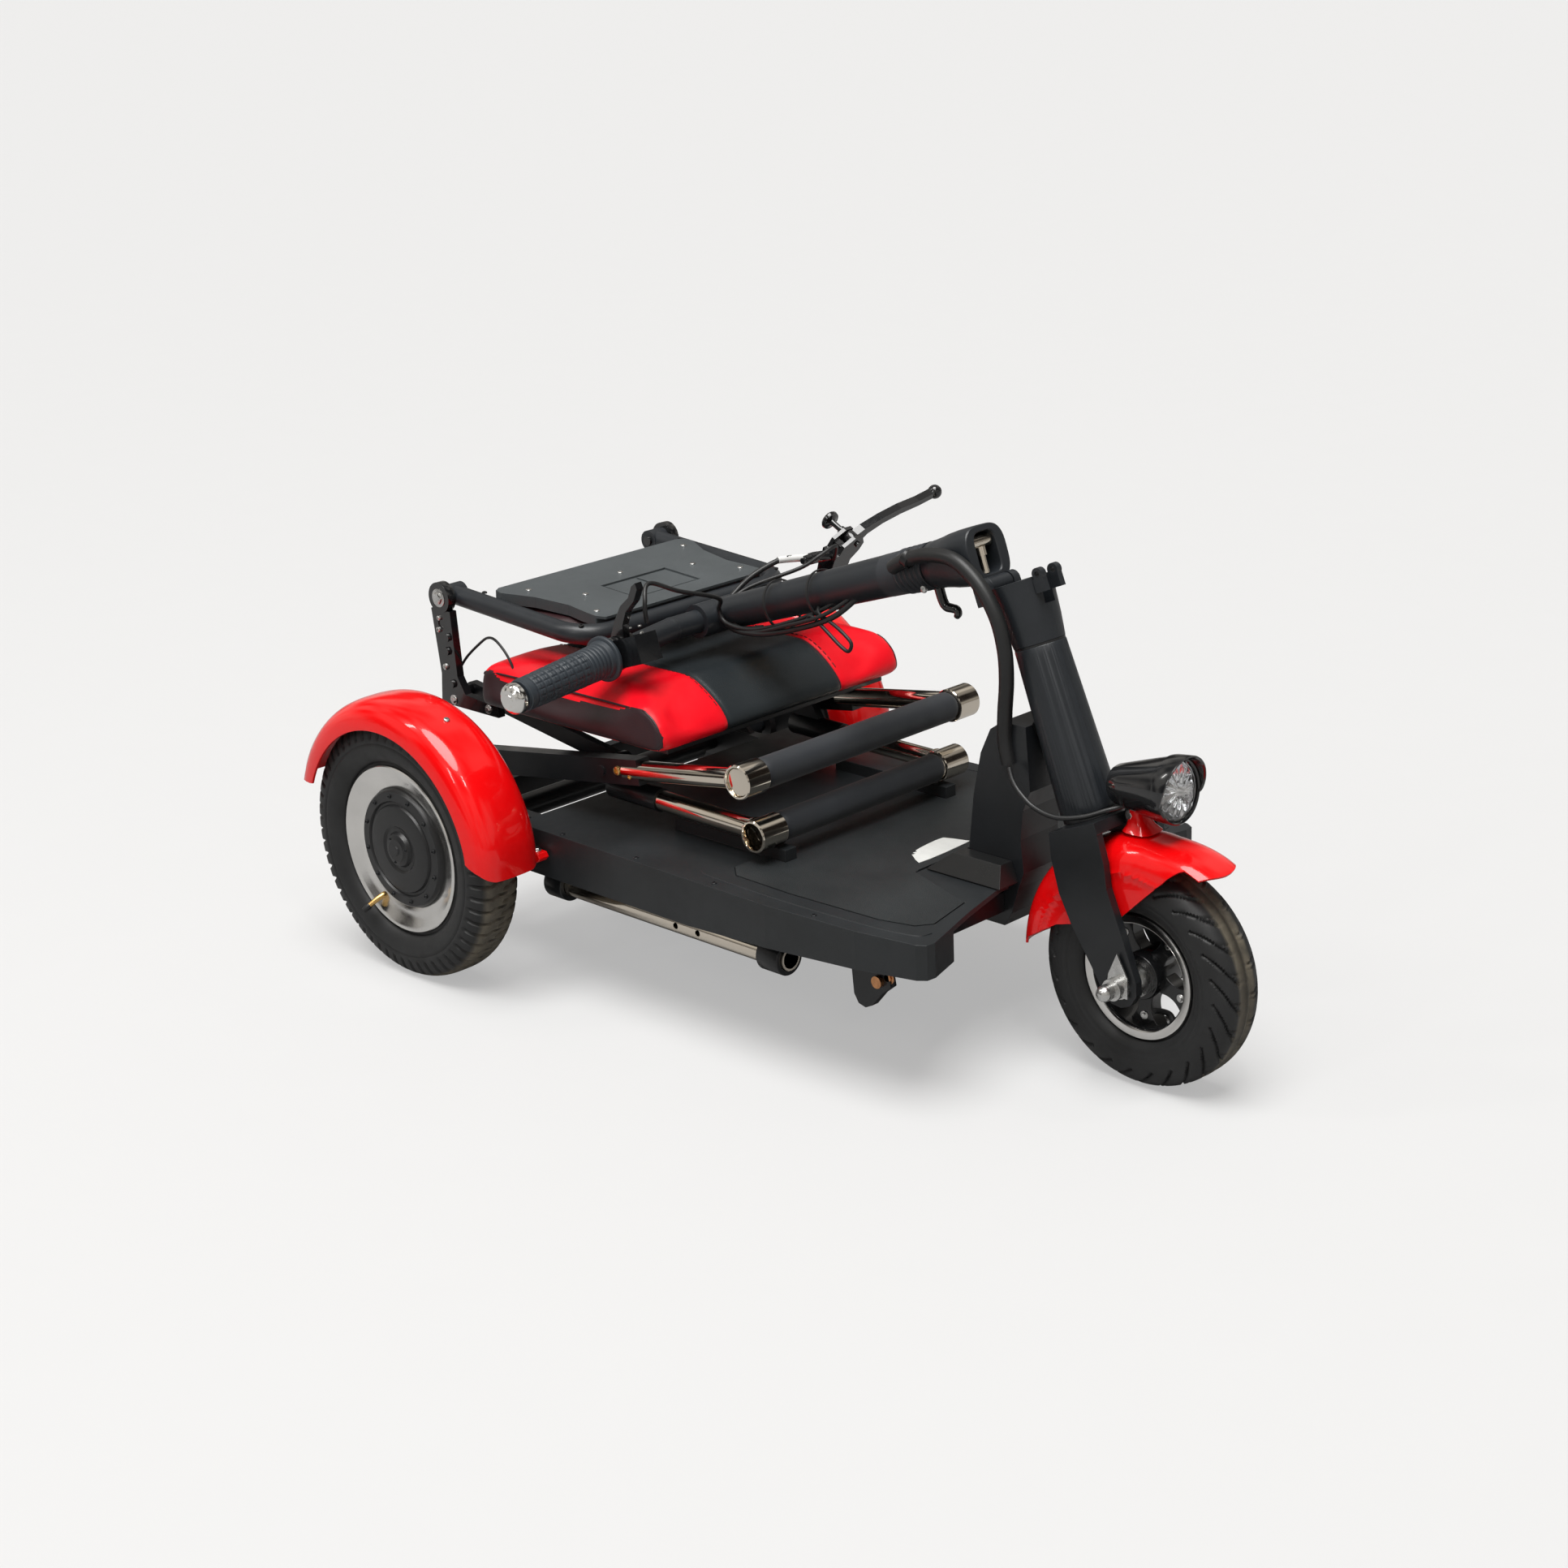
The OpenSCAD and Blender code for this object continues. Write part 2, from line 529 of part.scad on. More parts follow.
module switch_pods() color(black) bar_frame() {
    difference() {
        union() {
            rod(bar_at(65), bar_at(81), 15.5);
            translate([-10, 60, -40]) cube([22, 21.5, 32]);
        }
        rod(bar_at(60.5), bar_at(95), bar_r + gap);
        across(0, 0, bar_r + 0.5, 50, 65);
        translate([1, 72, -41]) cylinder(h = 8, r = 5.5);
    }
    difference() {
        union() {
            across(0, 0, 15.5, 30, 48);
            translate([0, 39, -36]) cylinder(h = 30, r = 11);
        }
        across(0, 0, bar_r + gap, 20, 60);
        translate([0, 39, -37]) cylinder(h = 9, r = 3.2 + run_gap);
    }
}
module horn_button() color(white) bar_frame() translate([1, 72, -42.4]) cylinder(h = 7, r = 5.2);
module ignition_key() color(brass) bar_frame() {
    translate([0, 39, -44]) cylinder(h = 14, r = 3.2);
    difference() {
        translate([-8, 38, -62]) cube([16, 2, 20]);
        across(0, -56, 4, 30, 50);
    }
}
module bag_hook() color(black) stem_frame() {
    translate([-10, -5, 62.6]) cube([17, 10, 6]);
    translate([-10, -5, 54]) cube([5, 10, 9]);
    translate([-16, -5, 50]) cube([11, 10, 5]);
}
module latch_rod() color(chrome) stem_frame() {
    across(38, 9, 5.5, -12, 12);
    rod([34, 0, 9], [10.8, 0, 9], 3.8);
    rod([33.5, 0, 9], [26, 0, 9], 5.4);
}
module bar_cables() color(rubber) bar_frame() {
    cord([[20, 82, -22], [32, 60, -26], [34, 34, -28], [32, 8, -28], [26, -16, -32], [15, -25, -50],
        [11, -22, -80]], 2.4, 4, 6);
    cord([[16, -117, -22], [22, -94, -26], [24, -60, -24], [20, -38, -28], [14, -34, -50], [12, -29, -80]],
        2.4, 4, 6);
    cord([[-6, 84.5, -36], [-12, 78, -62], [-14, 52, -84], [-8, 40, -104], [-2, 44, -84], [6, 48, -58],
        [9, 57.4, -42]], 2, 4, 6);
}

// ---------- seat stand ----------
module outer_legs() color(black) arm_frame() both() difference() {
    union() {
        translate([0, outer_y - 8, -12]) cube([(sleeve_end - foot_x) / cos(arm_angle), 16, 24]);
        across(0, 0, 12, outer_y - 8, outer_y + 8);
        across(arm_half, 0, pivot_r, inner_y - 5, outer_y + 10);
    }
    across(0, 0, pivot_r + run_gap, outer_y - 20, outer_y + 20);
    translate([sleeve_end - foot_x - 20, outer_y, 0]) rotate([0, 90, 0]) cylinder(h = 60, r = leg_r + gap);
}
module tee(x, z, y0, y1, r) difference() {
    across(x, z, r, y0, y1);
    across(x, z, r - 2.5, y0 - 1, y1 + 1);
}
module outer_chrome() color(chrome) {
    placed() both() tee(bar_front_x, outer_bar_z, 118.8 + gap, 152.9, 15.8);
    placed() both() across(bar_front_x, outer_bar_z, 13, 149, 151.6);
    arm_frame() both() difference() {
        translate([sleeve_end - foot_x - 18, outer_y, 0]) rotate([0, 90, 0])
            cylinder(h = arm_len - sleeve_end + foot_x + 12, r = leg_r);
        translate([arm_len, outer_y - 20, 0]) rotate([-90, 0, 0]) cylinder(h = 40, r = 15);
    }
}
module outer_crossbar() color(black) placed() across(bar_front_x, outer_bar_z, 14, -118.8, 118.8);
function inner_tube(x) = [x, inner_y, inner_bar_z + (bar_front_x - x) * 0.01];
module inner_legs() color(black) placed() both() difference() {
    union() {
        hull() {
            across(seat_hx, seat_hz, 8, inner_y - 4, inner_y + 4, $fn = soft_fn);
            across(mid_px, mid_pz, 8, inner_y - 4, inner_y + 4, $fn = soft_fn);
        }
        across(mid_px, mid_pz, 11, inner_y - 4, inner_y + 4);
        side_plate(inner_y - 4, inner_y + 4) polygon([[148, 186], [150, 208], [172, 214], [190, 186]]);
        rod(inner_tube(149), inner_tube(sleeve_end), 11);
    }
    across(seat_hx, seat_hz, pivot_r + run_gap, inner_y - 20, inner_y + 20);
    across(mid_px, mid_pz, pivot_r + run_gap, inner_y - 20, inner_y + 20);
    rod(inner_tube(sleeve_end - 20), inner_tube(sleeve_end + 10), leg_r + gap);
}
module inner_chrome() color(chrome) placed() both() {
    tee(bar_front_x, inner_bar_z, 99.4 + gap, 137, 14.6);
    difference() {
        rod(inner_tube(sleeve_end - 18), inner_tube(bar_front_x), leg_r);
        across(bar_front_x, inner_bar_z, 14, 90, 150);
    }
}
module inner_crossbar() color(black) placed() across(bar_front_x, inner_bar_z, 13.4, -99.4, 99.4);

// ---------- seat ----------
seat_x = 2;
front_round = 38;
module seat_cushion() color(red) placed() side_plate(-seat_half_w, seat_half_w)
    polygon(concat([[seat_x, seat_low + 4], [seat_x, seat_top - 8], [seat_x + 8, seat_top]],
        [for (a = [90:-10:0]) [seat_x + seat_len - front_round + front_round * cos(a),
            seat_top - front_round + front_round * sin(a)]], [[seat_x + seat_len - 6, seat_low]],
        [[seat_x + 4, seat_low]]));
module seat_pan() color(black) placed() difference() {
    translate([-14, -141.8, 239]) cube([262, 283.6, seat_low - 239 - gap]);
    both() translate([-20, 113, 230]) cube([62, 16, 20]);
}
module back_brackets() color(black) placed() both() difference() {
    union() {
        side_plate(142, 150) polygon([[-63, 232], [22, 232], [22, 243.9], [0, 243.9], [-26, 246], [-36, 262], [-40, 326],
            [-68, 326], [-60, 262]]);
        across(back_x, back_z, 15, 142, 151);
        across(back_x, back_z, 5, 120, 143);
        across(seat_hx, seat_hz, pivot_r, inner_y - 5, 143);
        for (p = [[-48, 286], [-46, 300], [-44, 254]]) across(p[0], p[1], 4, 140, 152.5);
    }
    across(-54, 312, 5, 149, 160);
}

// ---------- backrest ----------
shell_edge = [[48, 116], [52, 123], [62, 125], [94, 110], [134, 103], [160, 106], [175, 107], [184, 102]];
module back_cushion() color(black) back_plane()
    translate([0, 0, -27]) linear_extrude(29) polygon([[50, -108], [58, -114], [120, -116], [166, -106],
        [176, -94], [176, 94], [166, 106], [120, 116], [58, 114], [50, 108]]);
module back_frame() color(satin_black) back_plane() difference() {
    union() {
        both() {
            rod([0, back_tube_y, 0], [back_len - back_bend, back_tube_y, 0], back_tube_r);
            translate([back_len - back_bend, back_tube_y - back_bend, 0])
                rotate_extrude(angle = 90) translate([back_bend, 0]) circle(r = back_tube_r);
            across(0, 0, 10.5, 122.2, 141.7);
        }
        rod([back_len, back_bend - back_tube_y, 0], [back_len, back_tube_y - back_bend, 0], back_tube_r);
    }
    across(0, 0, 5 + run_gap, -160, 160);
}
module back_shell() color(grey) back_plane() difference() {
    translate([0, 0, 3]) linear_extrude(10.5) polygon(mirrored(shell_edge));
    both() rod([-1, back_tube_y, 0], [back_len, back_tube_y, 0], back_tube_r + 0.2);
    translate([110, -42, 11.5]) cube([50, 84, 4]);
    translate([back_len - 12, -150, -20]) cube([40, 300, 31]);
}

footboard();
foot_mat();
chassis();
neck();
head_tube();
headset_bearings();
battery_pack();
controller_box();
rails();
rail_brackets();
rear_axle_beam();
rear_fenders();
front_feet();
frame_bolts();
steering_column();
stem_hinge_pin();
fork();
front_axle();
front_fender();
lamp_shell();
lamp_reflector();
lamp_lens();
lamp_wire();
cable_conduit();
front_tyre();
front_rim();
front_hub();
rear_tyre_right();
rear_rim_right();
hub_motor_right();
rear_tyre_left();
rear_rim_left();
hub_motor_left();
stem_hinge();
stem_tube();
handlebar();
bar_caps();
grips();
throttle_box();
brake_perch();
switch_pods();
bag_hook();
bar_cables();
throttle_lever();
brake_lever();
latch_rod();
ignition_key();
horn_button();
outer_legs();
outer_chrome();
outer_crossbar();
inner_legs();
inner_chrome();
inner_crossbar();
seat_cushion();
seat_pan();
back_brackets();
back_cushion();
back_frame();
back_shell();
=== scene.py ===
# Looks of a folding three-wheel mobility scooter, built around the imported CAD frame.
# Lengths inside the helpers are in millimetres in the part's own local frames.
import math

import bmesh
import bpy
import numpy as np
from mathutils import Matrix, Vector


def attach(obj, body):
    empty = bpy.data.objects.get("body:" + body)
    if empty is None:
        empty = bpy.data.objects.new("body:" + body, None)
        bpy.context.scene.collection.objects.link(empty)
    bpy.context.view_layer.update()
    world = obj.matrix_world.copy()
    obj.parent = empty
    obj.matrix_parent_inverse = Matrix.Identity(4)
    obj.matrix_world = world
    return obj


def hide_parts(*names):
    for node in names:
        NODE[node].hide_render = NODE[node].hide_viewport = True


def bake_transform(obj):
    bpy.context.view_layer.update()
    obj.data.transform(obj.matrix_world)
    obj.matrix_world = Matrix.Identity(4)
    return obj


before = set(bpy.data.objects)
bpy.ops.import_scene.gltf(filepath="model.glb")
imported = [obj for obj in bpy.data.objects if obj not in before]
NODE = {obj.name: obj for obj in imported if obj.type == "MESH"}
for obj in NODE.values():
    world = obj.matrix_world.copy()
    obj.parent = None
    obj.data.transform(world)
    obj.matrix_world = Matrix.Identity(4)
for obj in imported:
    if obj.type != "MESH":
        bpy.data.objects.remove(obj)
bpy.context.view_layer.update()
MM = 0.001
TAU = 2 * math.pi


# ---------- local frames, as in the CAD source ----------
def shift(x, y, z):
    return Matrix.Translation((x * MM, y * MM, z * MM))


def turn(deg, axis):
    return Matrix.Rotation(math.radians(deg), 4, axis)


MID_X = 318.45
WHEELBASE, FRONT_R, REAR_R, TRACK = 678.4, 98.3, 127.0, 243.0
PLACED = shift(-MID_X, 0, 0)
STEER = PLACED @ shift(616, 0, 226) @ turn(-21.4, "Y")
STEM = STEER @ shift(-27, 0, 206) @ turn(-86.7, "Y")
BAR = STEM @ shift(27, 0, 352)
ARM = PLACED @ shift(-17, 0, 181.7) @ turn(-8.58, "Y")
BACK = PLACED @ shift(-54, 0, 338) @ turn(4, "Y")
LAMP = PLACED @ shift(643, 0, 257) @ turn(84, "Y")
FRONT_WHEEL = PLACED @ shift(WHEELBASE, 0, FRONT_R) @ turn(-90, "X")
REAR_WHEEL = {s: PLACED @ shift(0, s * TRACK, REAR_R) @ turn(-90, "X") for s in (-1, 1)}
SIDE = {-1: "right", 1: "left"}
WORLD = Matrix.Identity(4)
MERGE = 2e-6  # points nearer than this are one, in metres
BAR_BORE, GRIP_START, GRIP_LENGTH, BAR_END = 11.4, 148.7, 111.0, 262


def bar_at(y):
    """The handlebar's axis at a distance y from its middle, in BAR."""
    t = max(0.0, (abs(y) - 60) / 202)
    return Vector((-17.2 * t, y, -12.3 * t))


# ---------- mesh helpers ----------
def smooth(p, n):
    """A Catmull-Rom curve through the points p, with n steps to each span."""
    p = [np.array(q, float) for q in p]
    out = []
    for i in range(len(p) - 1):
        a, b, c, d = p[max(i - 1, 0)], p[i], p[i + 1], p[min(i + 2, len(p) - 1)]
        for k in range(n):
            t = k / n
            out.append(0.5 * (2 * b + (c - a) * t + (2 * a - 5 * b + 4 * c - d) * t * t + (3 * b - a - 3 * c + d) * t ** 3))
    return np.array(out + [p[-1]])


def circle(r, h, n):
    """n points round a circle of radius r at height h."""
    return [(r * math.cos(TAU * k / n), r * math.sin(TAU * k / n), h) for k in range(n)]


def points(o):
    """A mesh object's points, in metres."""
    return np.array([v.co for v in o.data.vertices])


def set_points(o, co):
    """Moves a mesh object's points, in metres."""
    o.data.vertices.foreach_set("co", co.astype(np.float32).ravel())
    o.data.update()


class Shape:
    """Collects faces from several simple forms into one piece."""

    def __init__(self):
        self.v, self.f = [], []

    def add(self, verts, faces, at=PLACED):
        n = len(self.v)
        verts = np.array(verts, float) * MM
        m = np.array(at, float)
        self.v.extend((verts @ m[:3, :3].T + m[:3, 3]).tolist())
        self.f.extend([[n + i for i in f] for f in faces])
        return self

    def grid(self, p, at=PLACED, round_i=False, round_j=False, cap_i=False):
        """A skin over the array of points p[i][j]; cap_i closes the ends of the rows."""
        p = np.array(p, float)
        ni, nj = p.shape[:2]
        ii, jj = ni if round_i else ni - 1, nj if round_j else nj - 1
        faces = [[i * nj + j, i * nj + (j + 1) % nj, (i + 1) % ni * nj + (j + 1) % nj,
            (i + 1) % ni * nj + j] for i in range(ii) for j in range(jj)]
        if cap_i:
            faces += [list(range(nj))[::-1], [(ni - 1) * nj + j for j in range(nj)]]
        return self.add(p.reshape(-1, 3), faces, at)

    def lathe(self, prof, at=PLACED, n=64, start=0.0, sweep=TAU):
        """Turns (radius, height) points round the frame's Z."""
        full = abs(sweep - TAU) < 1e-6
        steps = n if full else n + 1
        a = start + np.arange(steps) * sweep / n
        prof = np.array(prof, float)
        p = [[(r * math.cos(t), r * math.sin(t), h) for r, h in prof] for t in a]
        return self.grid(p, at, round_i=full)

    def tube(self, pts, r, at=PLACED, n=12, steps=0, ends=True, up=(0.1, 0.2, 1)):
        """A round tube along points; r is one radius or one for each point."""
        c = smooth(pts, steps) if steps else np.array(pts, float)
        rr = np.interp(np.linspace(0, 1, len(c)), np.linspace(0, 1, np.size(r)), np.atleast_1d(r))
        d = np.gradient(c, axis=0)
        d /= np.linalg.norm(d, axis=1)[:, None]
        u, rows = np.array(up, float), []
        for i in range(len(c)):
            u = u - d[i] * (u @ d[i])
            u /= np.linalg.norm(u)
            w = np.cross(d[i], u)
            a = np.arange(n) * TAU / n
            rows.append(c[i] + rr[i] * (np.outer(np.cos(a), u) + np.outer(np.sin(a), w)))
        return self.grid(rows, at, round_j=True, cap_i=ends)

    def prism(self, poly, z0, z1, at=PLACED):
        n = len(poly)
        v = [(x, y, z) for z in (z0, z1) for x, y in poly]
        f = [list(range(n))[::-1], list(range(n, 2 * n))]
        f += [[i, (i + 1) % n, n + (i + 1) % n, n + i] for i in range(n)]
        return self.add(v, f, at)

    def box(self, lo, hi, at=PLACED):
        return self.prism([(lo[0], lo[1]), (hi[0], lo[1]), (hi[0], hi[1]), (lo[0], hi[1])], lo[2], hi[2],
            at)

    def screw(self, p, d, r=3.5, h=2.2, at=PLACED, kind="dome"):
        """A screw head at p facing d: a socket dome, a hexagon or a nut with a stub."""
        q = Vector(d).normalized().to_track_quat("Z", "Y").to_matrix().to_4x4()
        here = at @ shift(*p) @ q
        if kind == "dome":
            s = r * 0.45
            self.lathe([(0, h * 0.35), (s, h * 0.35), (s, h), (r * 0.62, h), (r * 0.88, h * 0.78),
                (r, h * 0.35), (r, -0.3), (0, -0.3)], here, 20)
        else:
            self.lathe([(0, 0.9), (r * 1.35, 0.9), (r * 1.45, 0.6), (r * 1.45, -0.2), (0, -0.2)], here, 24)
            self.lathe([(0, h), (r * 0.82, h), (r, h * 0.82), (r, 0.6), (0, 0.6)], here, 6)
            if kind == "nut":
                self.lathe([(0, h + 2.2), (r * 0.42, h + 2.2), (r * 0.5, h + 1.7), (r * 0.5, h - 0.2),
                    (0, h - 0.2)], here, 16)
        return self

    def make(self, name, body, mat, slot=None, stands_for=(), bevel=0.0, angle=30.0, rides=True, solid=0.0):
        me = bpy.data.meshes.new(name)
        me.from_pydata(self.v, [], self.f)
        bm = bmesh.new()
        bm.from_mesh(me)
        bmesh.ops.remove_doubles(bm, verts=bm.verts, dist=MERGE)
        bmesh.ops.dissolve_degenerate(bm, edges=bm.edges, dist=1e-7)
        bmesh.ops.recalc_face_normals(bm, faces=bm.faces)
        bm.to_mesh(me)
        bm.free()
        o = bpy.data.objects.new(name, me)
        bpy.context.scene.collection.objects.link(o)
        me.materials.append(mat)
        me.shade_smooth()
        me.set_sharp_from_angle(angle=math.radians(angle))
        if solid:
            m = o.modifiers.new("wall", "SOLIDIFY")
            m.thickness, m.offset = solid * MM, -1
        if bevel:
            add_bevel(o, bevel, angle)
        if rides:
            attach(o, body)
        if stands_for:
            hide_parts(*stands_for)
        return o


def add_bevel(o, width, angle=30.0, segments=2):
    m = o.modifiers.new("edges", "BEVEL")
    m.width, m.segments, m.limit_method = width * MM, segments, "ANGLE"
    m.angle_limit, m.harden_normals = math.radians(angle), True
    m.use_clamp_overlap = True


def step(x):
    x = np.clip(x, 0, 1)
    return x * x * (3 - 2 * x)


# ---------- materials ----------
def material(name, colour, rough, metal=0.0, coat=0.0, coat_rough=0.05, vary=0.12, vary_scale=14.0,
        rough_vary=0.06, grain=0.0, grain_scale=1500.0, grain_kind="noise", wave=0.0, wave_scale=30.0,
        second=None, second_at=None, specular=0.5, sheen=0.0, dust=None, detail=4.0):
    """A surface with uneven colour and gloss, a fine grain and slow waves in its height."""
    m = bpy.data.materials.new(name)
    m.use_nodes = True
    nt = m.node_tree
    b = nt.nodes["Principled BSDF"]
    link = nt.links.new
    where = nt.nodes.new("ShaderNodeTexCoord").outputs["Object"]
    b.inputs["Metallic"].default_value = metal
    b.inputs["Coat Weight"].default_value = coat
    b.inputs["Coat Roughness"].default_value = coat_rough
    b.inputs["Specular IOR Level"].default_value = specular
    b.inputs["Sheen Weight"].default_value = sheen

    def noise(scale, det=detail, rough_n=0.55):
        n = nt.nodes.new("ShaderNodeTexNoise")
        n.inputs["Scale"].default_value = scale
        n.inputs["Detail"].default_value = det
        n.inputs["Roughness"].default_value = rough_n
        link(where, n.inputs["Vector"])
        return n.outputs["Fac"]

    def spread(fac, lo, hi, a=0.3, c=0.7):
        r = nt.nodes.new("ShaderNodeMapRange")
        for key, val in (("From Min", a), ("From Max", c), ("To Min", lo), ("To Max", hi)):
            r.inputs[key].default_value = val
        link(fac, r.inputs["Value"])
        return r.outputs["Result"]

    def mix(fac, a, c, kind="MIX"):
        x = nt.nodes.new("ShaderNodeMix")
        x.data_type, x.blend_type = "RGBA", kind
        for sock, val in ((x.inputs[0], fac), (x.inputs[6], a), (x.inputs[7], c)):
            if isinstance(val, bpy.types.NodeSocket):
                link(val, sock)
            else:
                sock.default_value = val if isinstance(val, float) else (*val, 1)
        return x.outputs[2]

    tone = mix(spread(noise(vary_scale), 0.0, 1.0), [c * (1 - vary) for c in colour],
        [min(1.0, c * (1 + vary)) for c in colour])
    if second is not None:
        tone = mix(second_at(nt, where), tone, second)
    if dust is not None:
        mask_fn, dust_colour, amount = dust
        mask = mask_fn(nt, where)
        patchy = nt.nodes.new("ShaderNodeMath")
        patchy.operation = "MULTIPLY"
        link(mask, patchy.inputs[0])
        link(spread(noise(60.0, 6.0, 0.65), 0.35 * amount, amount), patchy.inputs[1])
        tone = mix(patchy.outputs[0], tone, dust_colour)
    link(tone, b.inputs["Base Color"])
    link(spread(noise(vary_scale * 2.3, 5.0), max(0.02, rough - rough_vary), min(1.0, rough + rough_vary)),
         b.inputs["Roughness"])
    normal = None
    for kind, amount, scale, dist in ((grain_kind, grain, grain_scale, 0.0002), ("noise", wave, wave_scale,
            0.002)):
        if not amount:
            continue
        if kind == "cells":
            t = nt.nodes.new("ShaderNodeTexVoronoi")
            t.feature = "DISTANCE_TO_EDGE"
            t.inputs["Scale"].default_value = scale
            link(where, t.inputs["Vector"])
            height = spread(t.outputs["Distance"], 0.0, 1.0, 0.0, 0.25)
        else:
            height = noise(scale, 2.0)
        bump = nt.nodes.new("ShaderNodeBump")
        bump.inputs["Strength"].default_value = amount
        bump.inputs["Distance"].default_value = dist
        link(height, bump.inputs["Height"])
        if normal is not None:
            link(normal, bump.inputs["Normal"])
        normal = bump.outputs["Normal"]
    if normal is not None:
        link(normal, b.inputs["Normal"])
    return m


def axis_mask(nt, where, parts):
    """A mask made of math nodes: parts(x, y, z, fn) takes the object's coordinates and gives a socket."""
    s = nt.nodes.new("ShaderNodeSeparateXYZ")
    nt.links.new(where, s.inputs[0])

    def fn(op, a, b=None, clamp=False):
        n = nt.nodes.new("ShaderNodeMath")
        n.operation, n.use_clamp = op, clamp
        for sock, val in zip(n.inputs, (a, b)):
            if isinstance(val, bpy.types.NodeSocket):
                nt.links.new(val, sock)
            elif val is not None:
                sock.default_value = val
        return n.outputs[0]

    return parts(s.outputs[0], s.outputs[1], s.outputs[2], fn)


def ramp(fn, value, lo, hi):
    """0 below lo, 1 above hi."""
    return fn("MULTIPLY", fn("SUBTRACT", value, lo), 1.0 / (hi - lo), clamp=True)


def from_axle(x0, z0, r0, r1, y0=None, y_wide=None):
    """1 beyond radius r1 from an axle at (x0, z0), and within y_wide of y0 if given."""
    def mask(nt, where):
        def parts(x, y, z, fn):
            dx, dz = fn("SUBTRACT", x, x0), fn("SUBTRACT", z, z0)
            r = fn("SQRT", fn("ADD", fn("MULTIPLY", dx, dx), fn("MULTIPLY", dz, dz)))
            out = ramp(fn, r, r0, r1)
            if y_wide is not None:
                away = fn("ABSOLUTE", fn("SUBTRACT", y, y0))
                out = fn("MULTIPLY", out, fn("SUBTRACT", 1.0, ramp(fn, away, y_wide, y_wide + 0.004)))
            return out
        return axis_mask(nt, where, parts)
    return mask


# ---------- finishes ----------
DUST = (0.15, 0.130, 0.095)
AXLE_X, AXLE_F = -MID_X * MM, (WHEELBASE - MID_X) * MM

deck_plastic = material("deck_plastic", (0.014, 0.0165, 0.0185), 0.46, vary=0.2, grain=0.35,
    grain_scale=1400, wave=0.05, wave_scale=18)
deck_mat = material("deck_mat", (0.017, 0.0200, 0.0215), 0.5, vary=0.25, vary_scale=9, grain=0.6,
    grain_scale=900, grain_kind="cells")
trim_plastic = material("trim_plastic", (0.010, 0.0105, 0.011), 0.33, grain=0.25, grain_scale=2200)
satin_paint = material("satin_paint", (0.0165, 0.0195, 0.0235), 0.4, vary=0.15, grain=0.16,
    grain_scale=1900, wave=0.03)
frame_paint = material("frame_paint", (0.0100, 0.0115, 0.0135), 0.34, vary=0.2, grain=0.12,
    grain_scale=1500, wave=0.05)
gloss_black = material("gloss_black", (0.008, 0.0085, 0.0095), 0.17, vary=0.2, coat=0.6, coat_rough=0.06,
    wave=0.02)
red_gloss = material("red_gloss", (0.83, 0.0028, 0.004), 0.22, vary=0.05, vary_scale=6, rough_vary=0.03,
    coat=0.6, coat_rough=0.03, wave=0.012, wave_scale=22, specular=0.2)
# Bright polished chrome; its warm tint is a painted reflection of warm room light.
chrome = material("chrome", (0.78, 0.71, 0.61), 0.10, metal=1.0, vary=0.05, rough_vary=0.05, wave=0.02)
alloy = material("alloy", (0.80, 0.79, 0.77), 0.16, metal=1.0, vary=0.07, vary_scale=25, rough_vary=0.06,
    grain=0.06, grain_scale=700)
zinc = material("zinc", (0.66, 0.66, 0.65), 0.28, metal=1.0, vary=0.18, vary_scale=90, grain=0.1,
    grain_scale=1200)
brass = material("brass", (0.72, 0.46, 0.17), 0.3, metal=1.0, vary=0.2, vary_scale=120, grain=0.1)
copper = material("copper_bolt", (0.62, 0.30, 0.14), 0.32, metal=1.0, vary=0.25, vary_scale=150, grain=0.1)
cord_rubber = material("cord_rubber", (0.012, 0.0124, 0.013), 0.42, vary=0.2, grain=0.2, grain_scale=1800)
foam_sleeve = material("foam_sleeve", (0.0115, 0.0145, 0.0195), 0.62, vary=0.2, grain=0.5, grain_scale=1300,
    sheen=0.15)
grip_rubber = material("grip_rubber", (0.026, 0.0335, 0.042), 0.5, vary=0.15, grain=0.3, grain_scale=1600)
hub_paint = material("hub_paint", (0.012, 0.0125, 0.0135), 0.36, vary=0.2, grain=0.3, grain_scale=1100)
board_plastic = material("board_plastic", (0.070, 0.080, 0.085), 0.44, vary=0.12, grain=0.5,
    grain_scale=1500, grain_kind="cells")
case_plastic = material("case_plastic", (0.03, 0.032, 0.035), 0.5, vary=0.15, grain=0.35)
white_plastic = material("white_plastic", (0.8, 0.8, 0.79), 0.3, vary=0.04, grain=0.1)
tape_white = material("tape_white", (0.72, 0.73, 0.71), 0.55, vary=0.08, vary_scale=60, grain=0.4,
    grain_scale=700)
rim_black = material("rim_black", (0.009, 0.0095, 0.0105), 0.22, vary=0.2, coat=0.4, grain=0.08)


def tyre_material(name, x0, r, y0, y_wide):
    return material(name, (0.0125, 0.0130, 0.0138), 0.55, vary=0.25, vary_scale=30, grain=0.35,
        grain_scale=1300, dust=(from_axle(x0, r * MM, (r - 9) * MM, (r - 2.2) * MM, y0, y_wide), DUST, 1.0))


front_rubber = tyre_material("front_rubber", AXLE_F, FRONT_R, 0.0, 0.008)
rear_rubber = {s: tyre_material("rear_rubber_" + SIDE[s], AXLE_X, REAR_R, s * TRACK * MM,
    0.017) for s in (-1, 1)}


def seat_black(nt, where):
    """1 on the seat's middle panel."""
    def parts(x, y, z, fn):
        return fn("SUBTRACT", 1.0, ramp(fn, fn("ABSOLUTE", y), 0.0745, 0.0755))
    return axis_mask(nt, where, parts)


